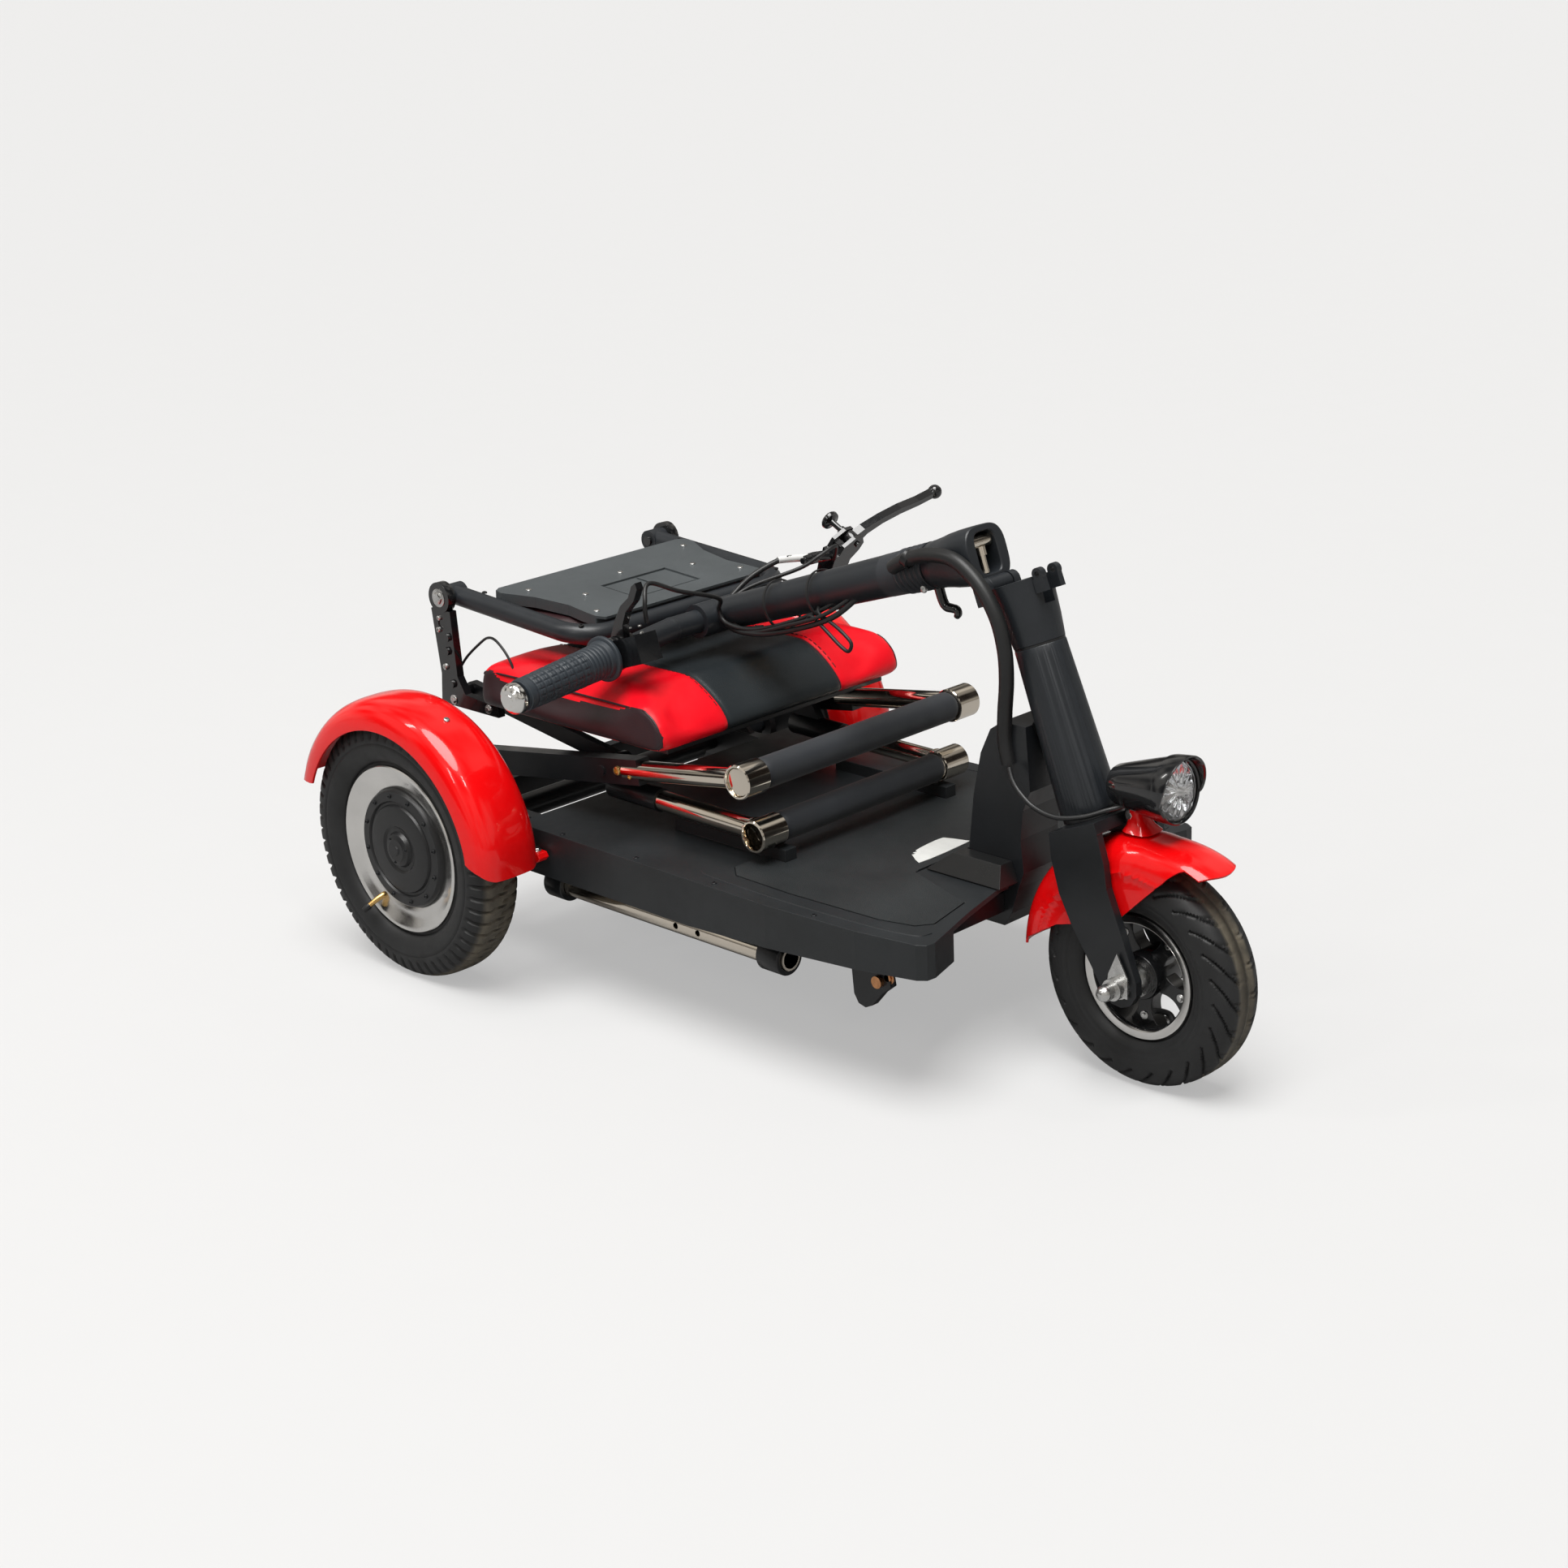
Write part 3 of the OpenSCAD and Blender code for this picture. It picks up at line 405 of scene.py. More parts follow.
seat_vinyl = material("seat_vinyl", (0.86, 0.003, 0.013), 0.36, specular=0.3, vary=0.08, vary_scale=10,
    grain=0.28, grain_scale=900, grain_kind="cells", second=(0.019, 0.0235, 0.0265), second_at=seat_black,
    wave=0.12, wave_scale=16)
# A dark maroon copy of the red seat vinyl for the seat's side walls, rear face and piping: painted shade.
side_vinyl_painted_shade = material("side_vinyl_painted_shade", (0.022, 0.0075, 0.010), 0.42, vary=0.2, grain=0.3, grain_scale=900,
    grain_kind="cells", wave=0.12, wave_scale=16)
back_vinyl = material("back_vinyl", (0.026, 0.006, 0.008), 0.42, vary=0.2, grain=0.3, grain_scale=900,
    grain_kind="cells", wave=0.12, wave_scale=16)


def glass(name, colour, rough):
    m = material(name, colour, rough, vary=0.02, rough_vary=0.01)
    b = m.node_tree.nodes["Principled BSDF"]
    b.inputs["Transmission Weight"].default_value = 1.0
    b.inputs["IOR"].default_value = 1.49
    return m


lens_clear = glass("lens_clear", (0.97, 0.98, 1.0), 0.02)
mirror = material("mirror", (0.9, 0.9, 0.92), 0.04, metal=1.0, vary=0.03, rough_vary=0.02)

FINISH = {deck_plastic: ["footboard"], deck_mat: ["foot_mat"], satin_paint: ["steering_column", "head_tube",
    "stem_tube", "handlebar", "back_frame"], frame_paint: ["chassis", "neck", "rail_brackets",
    "rear_axle_beam", "front_feet", "fork", "stem_hinge", "outer_legs", "inner_legs", "seat_pan"],
    trim_plastic: ["controller_box", "switch_pods", "bag_hook"], gloss_black: ["lamp_shell",
    "throttle_lever", "brake_lever", "brake_perch", "throttle_box", "back_brackets"],
    case_plastic: ["battery_pack"], board_plastic: ["back_shell"], chrome: ["rails", "latch_rod",
    "outer_chrome", "inner_chrome"], alloy: ["rear_rim_right", "rear_rim_left", "bar_caps"],
    hub_paint: ["headset_bearings", "hub_motor_right", "hub_motor_left"], zinc: ["stem_hinge_pin",
    "front_axle", "front_hub"], brass: ["ignition_key"], copper: ["frame_bolts"],
    foam_sleeve: ["outer_crossbar", "inner_crossbar"], rim_black: ["front_rim"],
    white_plastic: ["horn_button"], mirror: ["lamp_reflector"], lens_clear: ["lamp_lens"],
    cord_rubber: ["lamp_wire", "cable_conduit", "bar_cables"], grip_rubber: ["grips"],
    red_gloss: ["rear_fenders", "front_fender"], front_rubber: ["front_tyre"], side_vinyl_painted_shade: ["seat_cushion",
    "back_cushion"], }
for finish, names in FINISH.items():
    for n in names:
        NODE[n].data.materials.clear()
        NODE[n].data.materials.append(finish)
for s in (-1, 1):
    NODE["rear_tyre_" + SIDE[s]].data.materials.clear()
    NODE["rear_tyre_" + SIDE[s]].data.materials.append(rear_rubber[s])

EDGES = {"footboard": 1.2, "chassis": 0.8, "neck": 2.2, "controller_box": 2.0, "rail_brackets": 1.0,
    "front_feet": 1.0, "fork": 1.8, "outer_legs": 1.6, "inner_legs": 1.0, "seat_pan": 1.2,
    "back_brackets": 1.2, "throttle_box": 1.6, "brake_perch": 0.8, "switch_pods": 1.4, "back_shell": 1.3,
    "battery_pack": 2.0, "bar_caps": 1.0, "head_tube": 0.8, "ignition_key": 0.5, "front_rim": 0.8,
    "hub_motor_right": 0.6, "hub_motor_left": 0.6, "throttle_lever": 1.0, "brake_lever": 1.0}
for n, width in EDGES.items():
    o = NODE[n]
    w = o.modifiers.new("join", "WELD")
    w.merge_threshold = MERGE
    d = o.modifiers.new("flat", "DECIMATE")
    d.decimate_type, d.angle_limit = "DISSOLVE", math.radians(0.6)
    add_bevel(o, width, 32)


# ---------- tyres ----------
def tyre_profile(r0, r1, w, bead, n):
    """(radius, y) from one bead over the crown to the other, as the CAD tyre, with n steps."""
    mid, half = (r0 + r1) / 2, (r1 - r0) / 2
    t = np.linspace(-1, 1, n)
    ang = math.pi - (1 - np.abs(t)) * (math.pi - 0.42)
    r = mid - np.cos(ang) * half
    y = np.sign(t) * w * np.sin(ang) ** 0.55
    y[np.abs(t) < 1e-6] = 0
    return np.vstack([[[r0 - 2, -bead], [r0 + 0.6, -bead - 1.4]], np.stack([r, y], 1),
        [[r0 + 0.6, bead + 1.4], [r0 - 2, bead]]])


def tyre(name, body, node, at, r0, r1, w, bead, mat, groove, rings):
    prof = tyre_profile(r0, r1, w, bead, 73)
    r, y = prof[:, 0], prof[:, 1]
    ang = np.arange(rings) * TAU / rings
    d = np.array([[groove(t, ri, yi) for ri, yi in prof] for t in ang])
    mid_r = (r0 + r1) / 2
    nr, ny = (r - mid_r) / (r1 - r0) * 2, y / w
    ln = np.hypot(nr, ny)
    rr = r[None, :] - d * (nr / ln)[None, :]
    yy = y[None, :] - d * (ny / ln)[None, :]
    p = np.stack([rr * np.cos(ang)[:, None], rr * np.sin(ang)[:, None], yy], 2)
    inner = np.stack([np.outer(np.cos(ang), [r0 - 2] * 2), np.outer(np.sin(ang), [r0 - 2] * 2),
        np.tile([bead, -bead], (rings, 1))], 2)
    s = Shape().grid(p, at, round_i=True).grid(inner, at, round_i=True)
    return s.make(name, body, mat, "tyre", [node], angle=50)


def bump_at(x, half, soft):
    """1 within half of 0, falling to 0 over soft."""
    return float(step((half + soft - abs(x)) / soft))


def rear_groove(t, r, y):
    pitch = TAU / 58
    reach = (r - 107.5) / 5
    if reach <= 0:
        return 0.9 * bump_at(r - 104.0, 0.4, 0.7)
    lean = 0.022 * math.tanh((abs(y) - 7) / 6) * (1 if y > 0 else -1)
    x = ((t + lean + (pitch / 2 if y > 0 else 0)) / pitch) % 1.0 - 0.5
    lateral = bump_at(x * pitch * 127, 1.0, 0.9) * step((abs(y) - 3.0) / 1.5) * step(reach)
    ring = bump_at(abs(y) - 3.0, 0.5, 0.7)
    return max(2.8 * lateral, 1.5 * ring)


def front_groove(t, r, y):
    pitch = TAU / 24
    away = abs(y)
    if r < 62:
        return 0.0
    if r < 78:
        return 0.7 * bump_at(r - 71.0, 0.4, 0.7) + 0.5 * bump_at(r - 66.0, 0.4, 0.7)
    k = min(1.0, max(0.0, (98.3 - r) / 17))
    lean = 0.40 * k ** 0.6
    x = ((t + lean + (pitch / 2 if y > 0 else 0)) / pitch) % 1.0 - 0.5
    curve = bump_at(x * pitch * r, 0.95, 0.9) * step((away - 6.0) / 1.5) * (1 - step((k - 0.93) / 0.07))
    branch = ((t + 0.10 + 0.5 * lean) / pitch) % 1.0 - 0.5
    short = bump_at(branch * pitch * r, 0.5, 0.7) * bump_at(away - 12.5, 3.0, 2.0)
    ring = bump_at(away - 6.4, 0.7, 0.8)
    rib = bump_at(away - 1.2, 0.35, 0.6)
    return max(2.4 * curve, 1.3 * short, 2.2 * ring, 1.0 * rib)


tyre("front_tyre_tread", "front_wheel", "front_tyre", FRONT_WHEEL, 54.2, FRONT_R, 26.6, 14.6, front_rubber,
     front_groove, 480)
for s in (-1, 1):
    tyre("rear_tyre_tread_" + SIDE[s], "wheel_" + SIDE[s], "rear_tyre_" + SIDE[s], REAR_WHEEL[s], 82.0,
        REAR_R, 27.0, 17.0, rear_rubber[s], rear_groove, 580)


# ---------- rear wheels ----------
for s in (-1, 1):
    body, at = "wheel_" + SIDE[s], REAR_WHEEL[s] @ (turn(180, "X") if s < 0 else WORLD)
    rim = Shape().lathe([(58.05, 13.4), (60, 14.4), (64, 15.2), (70, 17.2), (76, 19.6), (78.4, 20.4),
        (80.6, 20.9), (81.5, 20.2), (81.6, 17.6), (79.9, 17.3), (79.9, -17.3), (81.6, -17.6), (81.3, -20.3),
        (78, -20), (64, -13), (58.05, -12), (58.05, 13.4)], at, 144)
    rim.make("rear_rim_polished_" + SIDE[s], body, alloy, "alloy", ["rear_rim_" + SIDE[s]], angle=40)
    stem_at = at @ turn(-123.2 * -s, "Z") @ shift(66, 0, 0)
    valve = Shape().tube([(0, 0, 9), (0, 0, 16), (4, 0, 24), (10, 0, 31)], [3.4, 3.2, 2.7, 2.6], stem_at,
        12, 4)
    valve.make("rear_valve_" + SIDE[s], body, brass, "brass")
    cap = Shape().tube([(9.4, 0, 30.3), (11, 0, 32.1), (14.5, 0, 36)], [3.3, 3.4, 2.6], stem_at, 10, 2)
    cap.make("rear_valve_cap_" + SIDE[s], body, cord_rubber, "rubber")
    hub = Shape().lathe([(0, 25.2), (4, 25.2), (5, 24.2), (10.5, 24.2), (12, 23.2), (15.6, 22.6),
        (17.6, 19.2), (21, 18.9), (23.5, 20.6), (39, 20.4), (42.0, 19.6), (43.4, 17.4), (45.6, 17.2),
        (47.0, 19.2), (55.6, 18.6), (57.0, 17.2), (57.9, 14.6), (57.9, -12), (56, -12.4), (50, -18.2),
        (18, -20.2), (16, -26), (7.2, -26), (6.4, -25), (6.3, 14), (0, 14.2)], at, 120)
    hub.make("hub_cover_" + SIDE[s], body, hub_paint, "black_paint", ["hub_motor_" + SIDE[s]], angle=28)
    heads = Shape()
    for k in range(12):
        a = TAU * (k + 0.35) / 12
        heads.screw((51.6 * math.cos(a), 51.6 * math.sin(a), 18.9), (0, 0, 1), 2.1, 1.6, at)
    for k in range(3):
        a = TAU * (k + 0.1) / 3
        heads.screw((13.2 * math.cos(a), 13.2 * math.sin(a), 22.8), (0, 0, 1), 1.5, 1.0, at)
    heads.make("hub_screws_" + SIDE[s], body, frame_paint, "black_paint")


# ---------- front wheel ----------
lip = Shape()
for s in (-1, 1):
    lip.lathe([(47.2, s * 15.6), (47.6, s * 18.4), (49, s * 19.0), (54.6, s * 19.3), (55.2, s * 18.4),
        (54.2, s * 17.9), (47.2, s * 15.6)], FRONT_WHEEL, 120)
lip.make("front_rim_lip", "front_wheel", alloy, "alloy", angle=30)
spider = Shape().lathe([(46.0, -15.8), (47.4, -17.9), (54.2, -18.2), (54.0, -15.4), (52.2, -14.8),
    (52.2, 14.8), (54.0, 15.4), (54.2, 18.2), (47.4, 17.9), (46.0, 15.8), (46.0, -15.8)], FRONT_WHEEL, 96)
spider.lathe([(14.1, -18), (19.5, -18), (20.5, -16), (20.5, 16), (19.5, 18), (14.1, 18), (14.1, -18)],
    FRONT_WHEEL, 64)
for k in range(5):
    at = FRONT_WHEEL @ turn(72 * k + 20, "Z")
    side = [(19, -8.5), (27, -6.6), (36, -8.2), (47.0, -15.5)]
    edge = smooth([(x, y, 0) for x, y in side], 6)[:, :2].tolist()
    spider.prism(edge + [(x, -y) for x, y in edge[::-1]], -7, 7, at)
spider.make("front_spider", "front_wheel", rim_black, "black_paint", ["front_rim"], bevel=0.9)
heads = Shape()
for k in range(5):
    at = FRONT_WHEEL @ turn(72 * k + 20, "Z")
    heads.screw((38.5, 0, -7), (0, 0, -1), 2.6, 2.0, at, "hex").screw((38.5, 0, 7), (0, 0, 1), 2.6, 2.0, at,
        "nut")
heads.make("front_rim_bolts", "front_wheel", zinc, "steel")
valve = Shape().tube([(47, 3, 0), (40, 3, 0), (35, 4, -5), (31, 5, -13)], [3.0, 2.6, 2.5],
    FRONT_WHEEL @ turn(56, "Z"), 12, 4)
valve.make("front_valve", "front_wheel", cord_rubber, "rubber")


# ---------- fenders ----------
def rear_fender(s):
    """A deep arched guard with a creased side band, rounded front end and a flared rear."""
    half, r_out = 37.0, 146.5
    crown = [(0, 0), (8, -0.1), (16, -0.9), (22, -2.4), (27, -4.8), (30.8, -8.0), (32.6, -10.4)]
    band = [(33.4, -11.4), (35.2, -17), (36.6, -23), (37.0, -27.5)]
    line = smooth([(y, d, 0) for y, d in crown], 4)[:, :2].tolist() + band
    line = [(-y, d) for y, d in line[::-1]][:-1] + line
    rows = []
    for t in np.linspace(0, 1, 110):
        row = []
        for y, d in line:
            corner = 17.0
            over = max(0.0, abs(y) - (half - corner)) / corner
            first = 0.4 + 7.5 * (1 - math.sqrt(max(0.0, 1 - min(1.0, over) ** 2)))
            last = 162.5 - 5.5 * (1 - math.sqrt(max(0.0, 1 - min(1.0, over) ** 2)))
            a = first + (last - first) * t
            flare = 7.5 * float(step((a - 128) / 34)) * float(step((30 - abs(y)) / 14))
            tuck = -2.0 * float(step((14 - a) / 14))
            r = r_out + d + flare + tuck
            row.append((r * math.cos(math.radians(a)), s * (TRACK - 2) + y, r * math.sin(math.radians(a))))
        rows.append(row)
    at = PLACED @ shift(0, 0, REAR_R)
    f = Shape().grid(rows, at)
    f.make("rear_fender_" + SIDE[s], "frame", red_gloss, "red_paint", ["rear_fenders"], bevel=0.5, angle=24,
           solid=2.6)
    tab = Shape().prism([(117, 2), (135, 2), (139, 6), (136, 11), (117, 11)], -6, 6,
        at @ shift(0, s * 202.5, 0) @ turn(90, "X"))
    tab.make("fender_tab_" + SIDE[s], "frame", red_gloss, "red_paint", bevel=1.2)
    bolts = Shape().screw((128, s * 202.5, 11.2), (0, 0, 1), 3.4, 2.6, at, "hex")
    bolts.screw((60, s * (TRACK - 2), 133.6), (0.4, 0, 0.9), 3.2, 2.0, at)
    bolts.make("fender_bolts_" + SIDE[s], "frame", zinc, "steel")


rear_fender(-1)
rear_fender(1)


def front_fender():
    """A guard round the front tyre: pointed side panels, a rear tongue and a peaked visor."""
    cut = [(-134, -3), (-75, 33), (-13, 50), (44, 105), (66, 122)]
    sect = smooth([(0, 122, 0), (8, 121.8, 0), (15, 120.6, 0), (21, 118.0, 0), (26.5, 113.6, 0),
        (30.5, 107, 0)], 6)[:, :2].tolist()
    sect += [(31.6, 104.5), (32.6, 96), (33, 84), (33, 70), (33, 58), (33, 46)]
    sect = np.array(sect)
    length = np.concatenate([[0], np.cumsum(np.hypot(*np.diff(sect, axis=0).T))])

    def reach(a):
        """Radius where a ray at angle a leaves the cut line."""
        d = (math.cos(a), math.sin(a))
        found = []
        for (x0, z0), (x1, z1) in zip(cut, cut[1:]):
            den = d[0] * (z1 - z0) - d[1] * (x1 - x0)
            if abs(den) < 1e-9:
                continue
            rad = (x0 * (z1 - z0) - z0 * (x1 - x0)) / den
            u = ((rad * d[0] - x0) * (x1 - x0) + (rad * d[1] - z0) * (z1 - z0)) / ((x1 - x0) ** 2 + (z1 - z0) ** 2)
            if rad > 0 and -1e-6 <= u <= 1 + 1e-6:
                found.append(rad)
        return min(found) if found else 122.0

    first, last = math.radians(60.5), math.radians(178.2)
    rows, k = [], 41
    for a in np.linspace(first, last, 150):
        rad = reach(a)
        lim = float(np.interp(-max(rad, 46.0), -sect[:, 1], length))
        lim = max(lim, 27.0)
        row = []
        for t in np.linspace(-1, 1, k):
            dist = abs(t) * lim
            y = float(np.interp(dist, length, sect[:, 0])) * (1 if t > 0 else -1)
            r = float(np.interp(dist, length, sect[:, 1]))
            lift = 8.0 * float(step((math.radians(84) - a) / math.radians(26))) * float(step((r - 95) / 20))
            crease = 1.1 * bump_at(r - 95.5, 0.6, 2.6)
            r += lift
            y += math.copysign(crease, t)
            ahead = math.radians(7.0) * float(step((math.radians(80) - a) / math.radians(20)))
            ahead *= 1 - (abs(y) / 34.0) ** 2
            row.append((r * math.cos(a - ahead), y, r * math.sin(a - ahead)))
        rows.append(row)
    at = PLACED @ shift(WHEELBASE, 0, FRONT_R)
    f = Shape().grid(rows, at)
    f.make("front_fender_shell", "steerer", red_gloss, "red_paint", ["front_fender"], bevel=0.4, angle=24,
        solid=2.4)


front_fender()


# ---------- cushions ----------
def inflate(o, pressure, held, cap, cell=0.005, frames=20):
    """Swells the cushion by cloth simulation; points where held(p) is true stay. Nothing moves over cap."""
    bpy.context.view_layer.objects.active = o
    for other in bpy.context.selected_objects:
        other.select_set(False)
    o.select_set(True)
    m = o.modifiers.new("cells", "REMESH")
    m.mode, m.voxel_size, m.use_smooth_shade = "VOXEL", cell, True
    bpy.ops.object.modifier_apply(modifier=m.name)
    relax = o.modifiers.new("relax", "SMOOTH")
    relax.iterations, relax.factor = 6, 0.5
    bpy.ops.object.modifier_apply(modifier=relax.name)
    before = points(o)
    pins = o.vertex_groups.new(name="held")
    keep = [i for i, p in enumerate(before) if held(p / MM)]
    pins.add(keep, 1.0, "REPLACE")
    c = o.modifiers.new("cloth", "CLOTH")
    c.settings.use_pressure, c.settings.uniform_pressure_force = True, pressure
    c.settings.quality, c.settings.mass = 6, 0.4
    c.settings.tension_stiffness = c.settings.compression_stiffness = 40
    c.settings.shear_stiffness, c.settings.bending_stiffness = 20, 2.0
    c.settings.vertex_group_mass = "held"
    c.settings.effector_weights.gravity = 0
    c.collision_settings.use_collision = False
    for f in range(1, frames + 1):
        bpy.context.scene.frame_set(f)
    dg = bpy.context.evaluated_depsgraph_get()
    e = o.evaluated_get(dg).to_mesh()
    after = np.array([v.co for v in e.vertices])
    o.evaluated_get(dg).to_mesh_clear()
    o.modifiers.remove(c)
    bpy.context.scene.frame_set(1)
    move = after - before
    far = np.linalg.norm(move, axis=1)
    scale = np.minimum(1.0, cap * MM / np.maximum(far, 1e-9))
    after = before + move * scale[:, None]
    o.data.vertices.foreach_set("co", after.astype(np.float32).ravel())
    relax = o.modifiers.new("relax", "SMOOTH")
    relax.iterations, relax.factor = 8, 0.5
    bpy.ops.object.modifier_apply(modifier=relax.name)
    fine = o.modifiers.new("fine", "SUBSURF")
    fine.levels = fine.render_levels = 1
    bpy.ops.object.modifier_apply(modifier=fine.name)
    o.data.shade_smooth()


SEAT_X0, SEAT_X1, SEAT_Y, SEAT_LO, SEAT_HI = 2.0 - MID_X, 262.0 - MID_X, 162.0, 244.2, 292.0


def seat():
    """The seat pad: flat below, crowned above, with a waterfall front and sewn panels."""
    nose, panel, stitch_y, mid_x = 34.0, 75, 78.2, (SEAT_X0 + SEAT_X1) / 2
    side = [(SEAT_X0 + 3, SEAT_LO + 0.2), (SEAT_X0 + 1, SEAT_LO + 6), (SEAT_X0 + 1, SEAT_HI - 14),
            (SEAT_X0 + 4, SEAT_HI - 8), (SEAT_X0 + 12, SEAT_HI - 5.5)]
    side += [(SEAT_X1 - 2 - nose + nose * math.cos(math.radians(a)),
        SEAT_HI - 5 - nose + nose * math.sin(math.radians(a))) for a in range(90, -1, -10)]
    side += [(SEAT_X1 - 3, SEAT_LO + 5), (SEAT_X1 - 8, SEAT_LO + 0.2)]
    rows = []
    for y, inset in ((-SEAT_Y + 2, 3.5), (-SEAT_Y + 4, 1.0), (-SEAT_Y + 8, 0.0), (SEAT_Y - 8, 0.0),
            (SEAT_Y - 4, 1.0), (SEAT_Y - 2, 3.5)):
        ring = []
        for x, z in side:
            top = inset if z > SEAT_LO + 8 else 0.0
            ring.append((x - np.sign(x - mid_x) * inset * 0.6, y, z - top))
        rows.append(ring)
    s = Shape().grid(rows, WORLD, round_j=True, cap_i=True)
    o = s.make("seat_pad", "seat", seat_vinyl, rides=False)
    inflate(o, pressure=4.0, held=lambda p: p[2] < SEAT_LO + 3, cap=7.0)
    co = points(o) / MM
    up = step((co[:, 2] - SEAT_LO - 20) / 20)
    dish = 3.0 * np.exp(-((co[:, 1]) / 60) ** 2) * np.exp(-((co[:, 0] - SEAT_X0 - 120) / 90) ** 2)
    co[:, 2] -= up * dish
    for y0 in (-panel, panel):
        d = np.abs(co[:, 1] - y0)
        co[:, 2] -= 2.2 * up * np.exp(-(d / 2.6) ** 2)
        nose_in = step((co[:, 0] - (SEAT_X1 - nose)) / 30)
        co[:, 0] -= 2.0 * nose_in * np.exp(-(d / 2.6) ** 2)
    over = (co[:, 2].max() - SEAT_LO) / (SEAT_HI - SEAT_LO)
    wide = np.abs(co[:, 1]).max() / SEAT_Y
    co[:, 2] = np.maximum(SEAT_LO + (co[:, 2] - SEAT_LO) / max(1.0, over), SEAT_LO)
    co[:, 1] /= max(1.0, wide)
    set_points(o, co * MM)
    # The side and rear faces get the dark maroon vinyl: painted shade on the walls of the red cushion.
    o.data.materials.append(side_vinyl_painted_shade)
    n = np.array([p.normal for p in o.data.polygons])
    c = np.array([p.center for p in o.data.polygons]) / MM
    is_side = (np.abs(c[:, 1]) > SEAT_Y - 9) & (np.abs(n[:, 1]) > 0.62)
    is_back = (c[:, 0] < SEAT_X0 + 5) & (n[:, 0] < -0.6)
    o.data.polygons.foreach_set("material_index", (is_side | is_back).astype(np.int32))
    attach(o, "seat")
    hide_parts("seat_cushion")
    piping = Shape()
    for s in (-1, 1):
        pts = []
        for x, z in smooth([(x, z, 0) for x, z in side[2:]], 5)[:, :2]:
            _, loc, _, _ = o.closest_point_on_mesh(Vector((x, s * (SEAT_Y - 3), z)) * MM)
            pts.append(np.array(loc) / MM)
        pts = np.array(pts)
        for _ in range(14):
            pts[1:-1] = 0.25 * pts[:-2] + 0.5 * pts[1:-1] + 0.25 * pts[2:]
        piping.tube(pts, 1.0, WORLD, 8)
    piping.make("seat_piping", "seat", side_vinyl_painted_shade, "seat_vinyl")
    stitch = Shape()
    for y0 in (-stitch_y, stitch_y):
        xs = np.arange(SEAT_X0 + 14, SEAT_X1 - 16, 6.0)
        for x in xs:
            ok, loc, _, _ = o.ray_cast(Vector((x, y0, SEAT_HI + 20)) * MM, Vector((0, 0, -1)))
            ok2, loc2, _, _ = o.ray_cast(Vector((x + 3.6, y0, SEAT_HI + 20)) * MM, Vector((0, 0, -1)))
            if ok and ok2:
                a, b = np.array(loc) / MM, np.array(loc2) / MM
                up = np.array([0, 0, 0.25])
                stitch.tube([a - up, a + up, (a + b) / 2 + up * 1.4, b + up, b - up],
                    [0.3, 0.42, 0.45, 0.42, 0.3], WORLD, 6)
    stitch.make("seat_stitching", "seat", cord_rubber, "seat_vinyl")


seat()


def backrest_pad():
    """The back cushion, which lies face down on the seat under its board."""
    half = [(52, 100), (56, 108), (64, 113), (120, 114), (150, 109), (166, 102), (173, 90)]
    ring = smooth([(x, y, 0) for x, y in half], 4)[:, :2].tolist()
    ring = ring + [(x, -y) for x, y in ring[::-1]]
    prof = [(7, -24.5), (3.0, -22.5), (1.0, -19), (0.4, -12), (0.4, -4), (1.2, 0.0), (3.5, 1.6)]
    mid = np.array([113.0, 0.0])
    rows = []
    for inset, z in prof:
        row = []
        for x, y in ring:
            d = np.array([x, y]) - mid
            q = mid + d * (1 - inset / np.linalg.norm(d))
            row.append((q[0], q[1], z))
        rows.append(row)
    o = Shape().grid(rows, BACK, round_j=True, cap_i=True).make("back_pad", "backrest", back_vinyl,
        rides=False)
    inv = np.array(BACK.inverted())

    def held(p):
        q = inv[:3, :3] @ (p * MM) + inv[:3, 3]
        return q[2] / MM > -1.5
    inflate(o, pressure=4.0, held=held, cap=4.0)
    co = points(o)
    loc = (co @ inv[:3, :3].T + inv[:3, 3]) / MM
    down = step((-loc[:, 2] - 8) / 10)
    for y0 in (-62, 62):
        loc[:, 2] += 2.0 * down * np.exp(-((loc[:, 1] - y0) / 3.0) ** 2)
    loc[:, 2] = np.clip(loc[:, 2], -27.5, 2.0)
    f = np.array(BACK)
    co = (loc * MM) @ f[:3, :3].T + f[:3, 3]
    set_points(o, co)
    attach(o, "backrest")
    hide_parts("back_cushion")


backrest_pad()


# ---------- handlebar, grips and cables ----------
BRAKE = BAR @ shift(*bar_at(138)) @ turn(46, "Y")


def along_bar(y):
    """A frame on the bar's axis at y, with Z out along the bar and X up."""
    s = 1 if y > 0 else -1
    d = (bar_at(s * 260) - bar_at(s * 150)).normalized()
    x = (Vector((1, 0, 0)) - d * d.x).normalized()
    w = d.cross(x)
    p = bar_at(y)
    return BAR @ Matrix(((x.x, w.x, d.x, p.x * MM), (x.y, w.y, d.y, p.y * MM), (x.z, w.z, d.z, p.z * MM),
        (0, 0, 0, 1)))


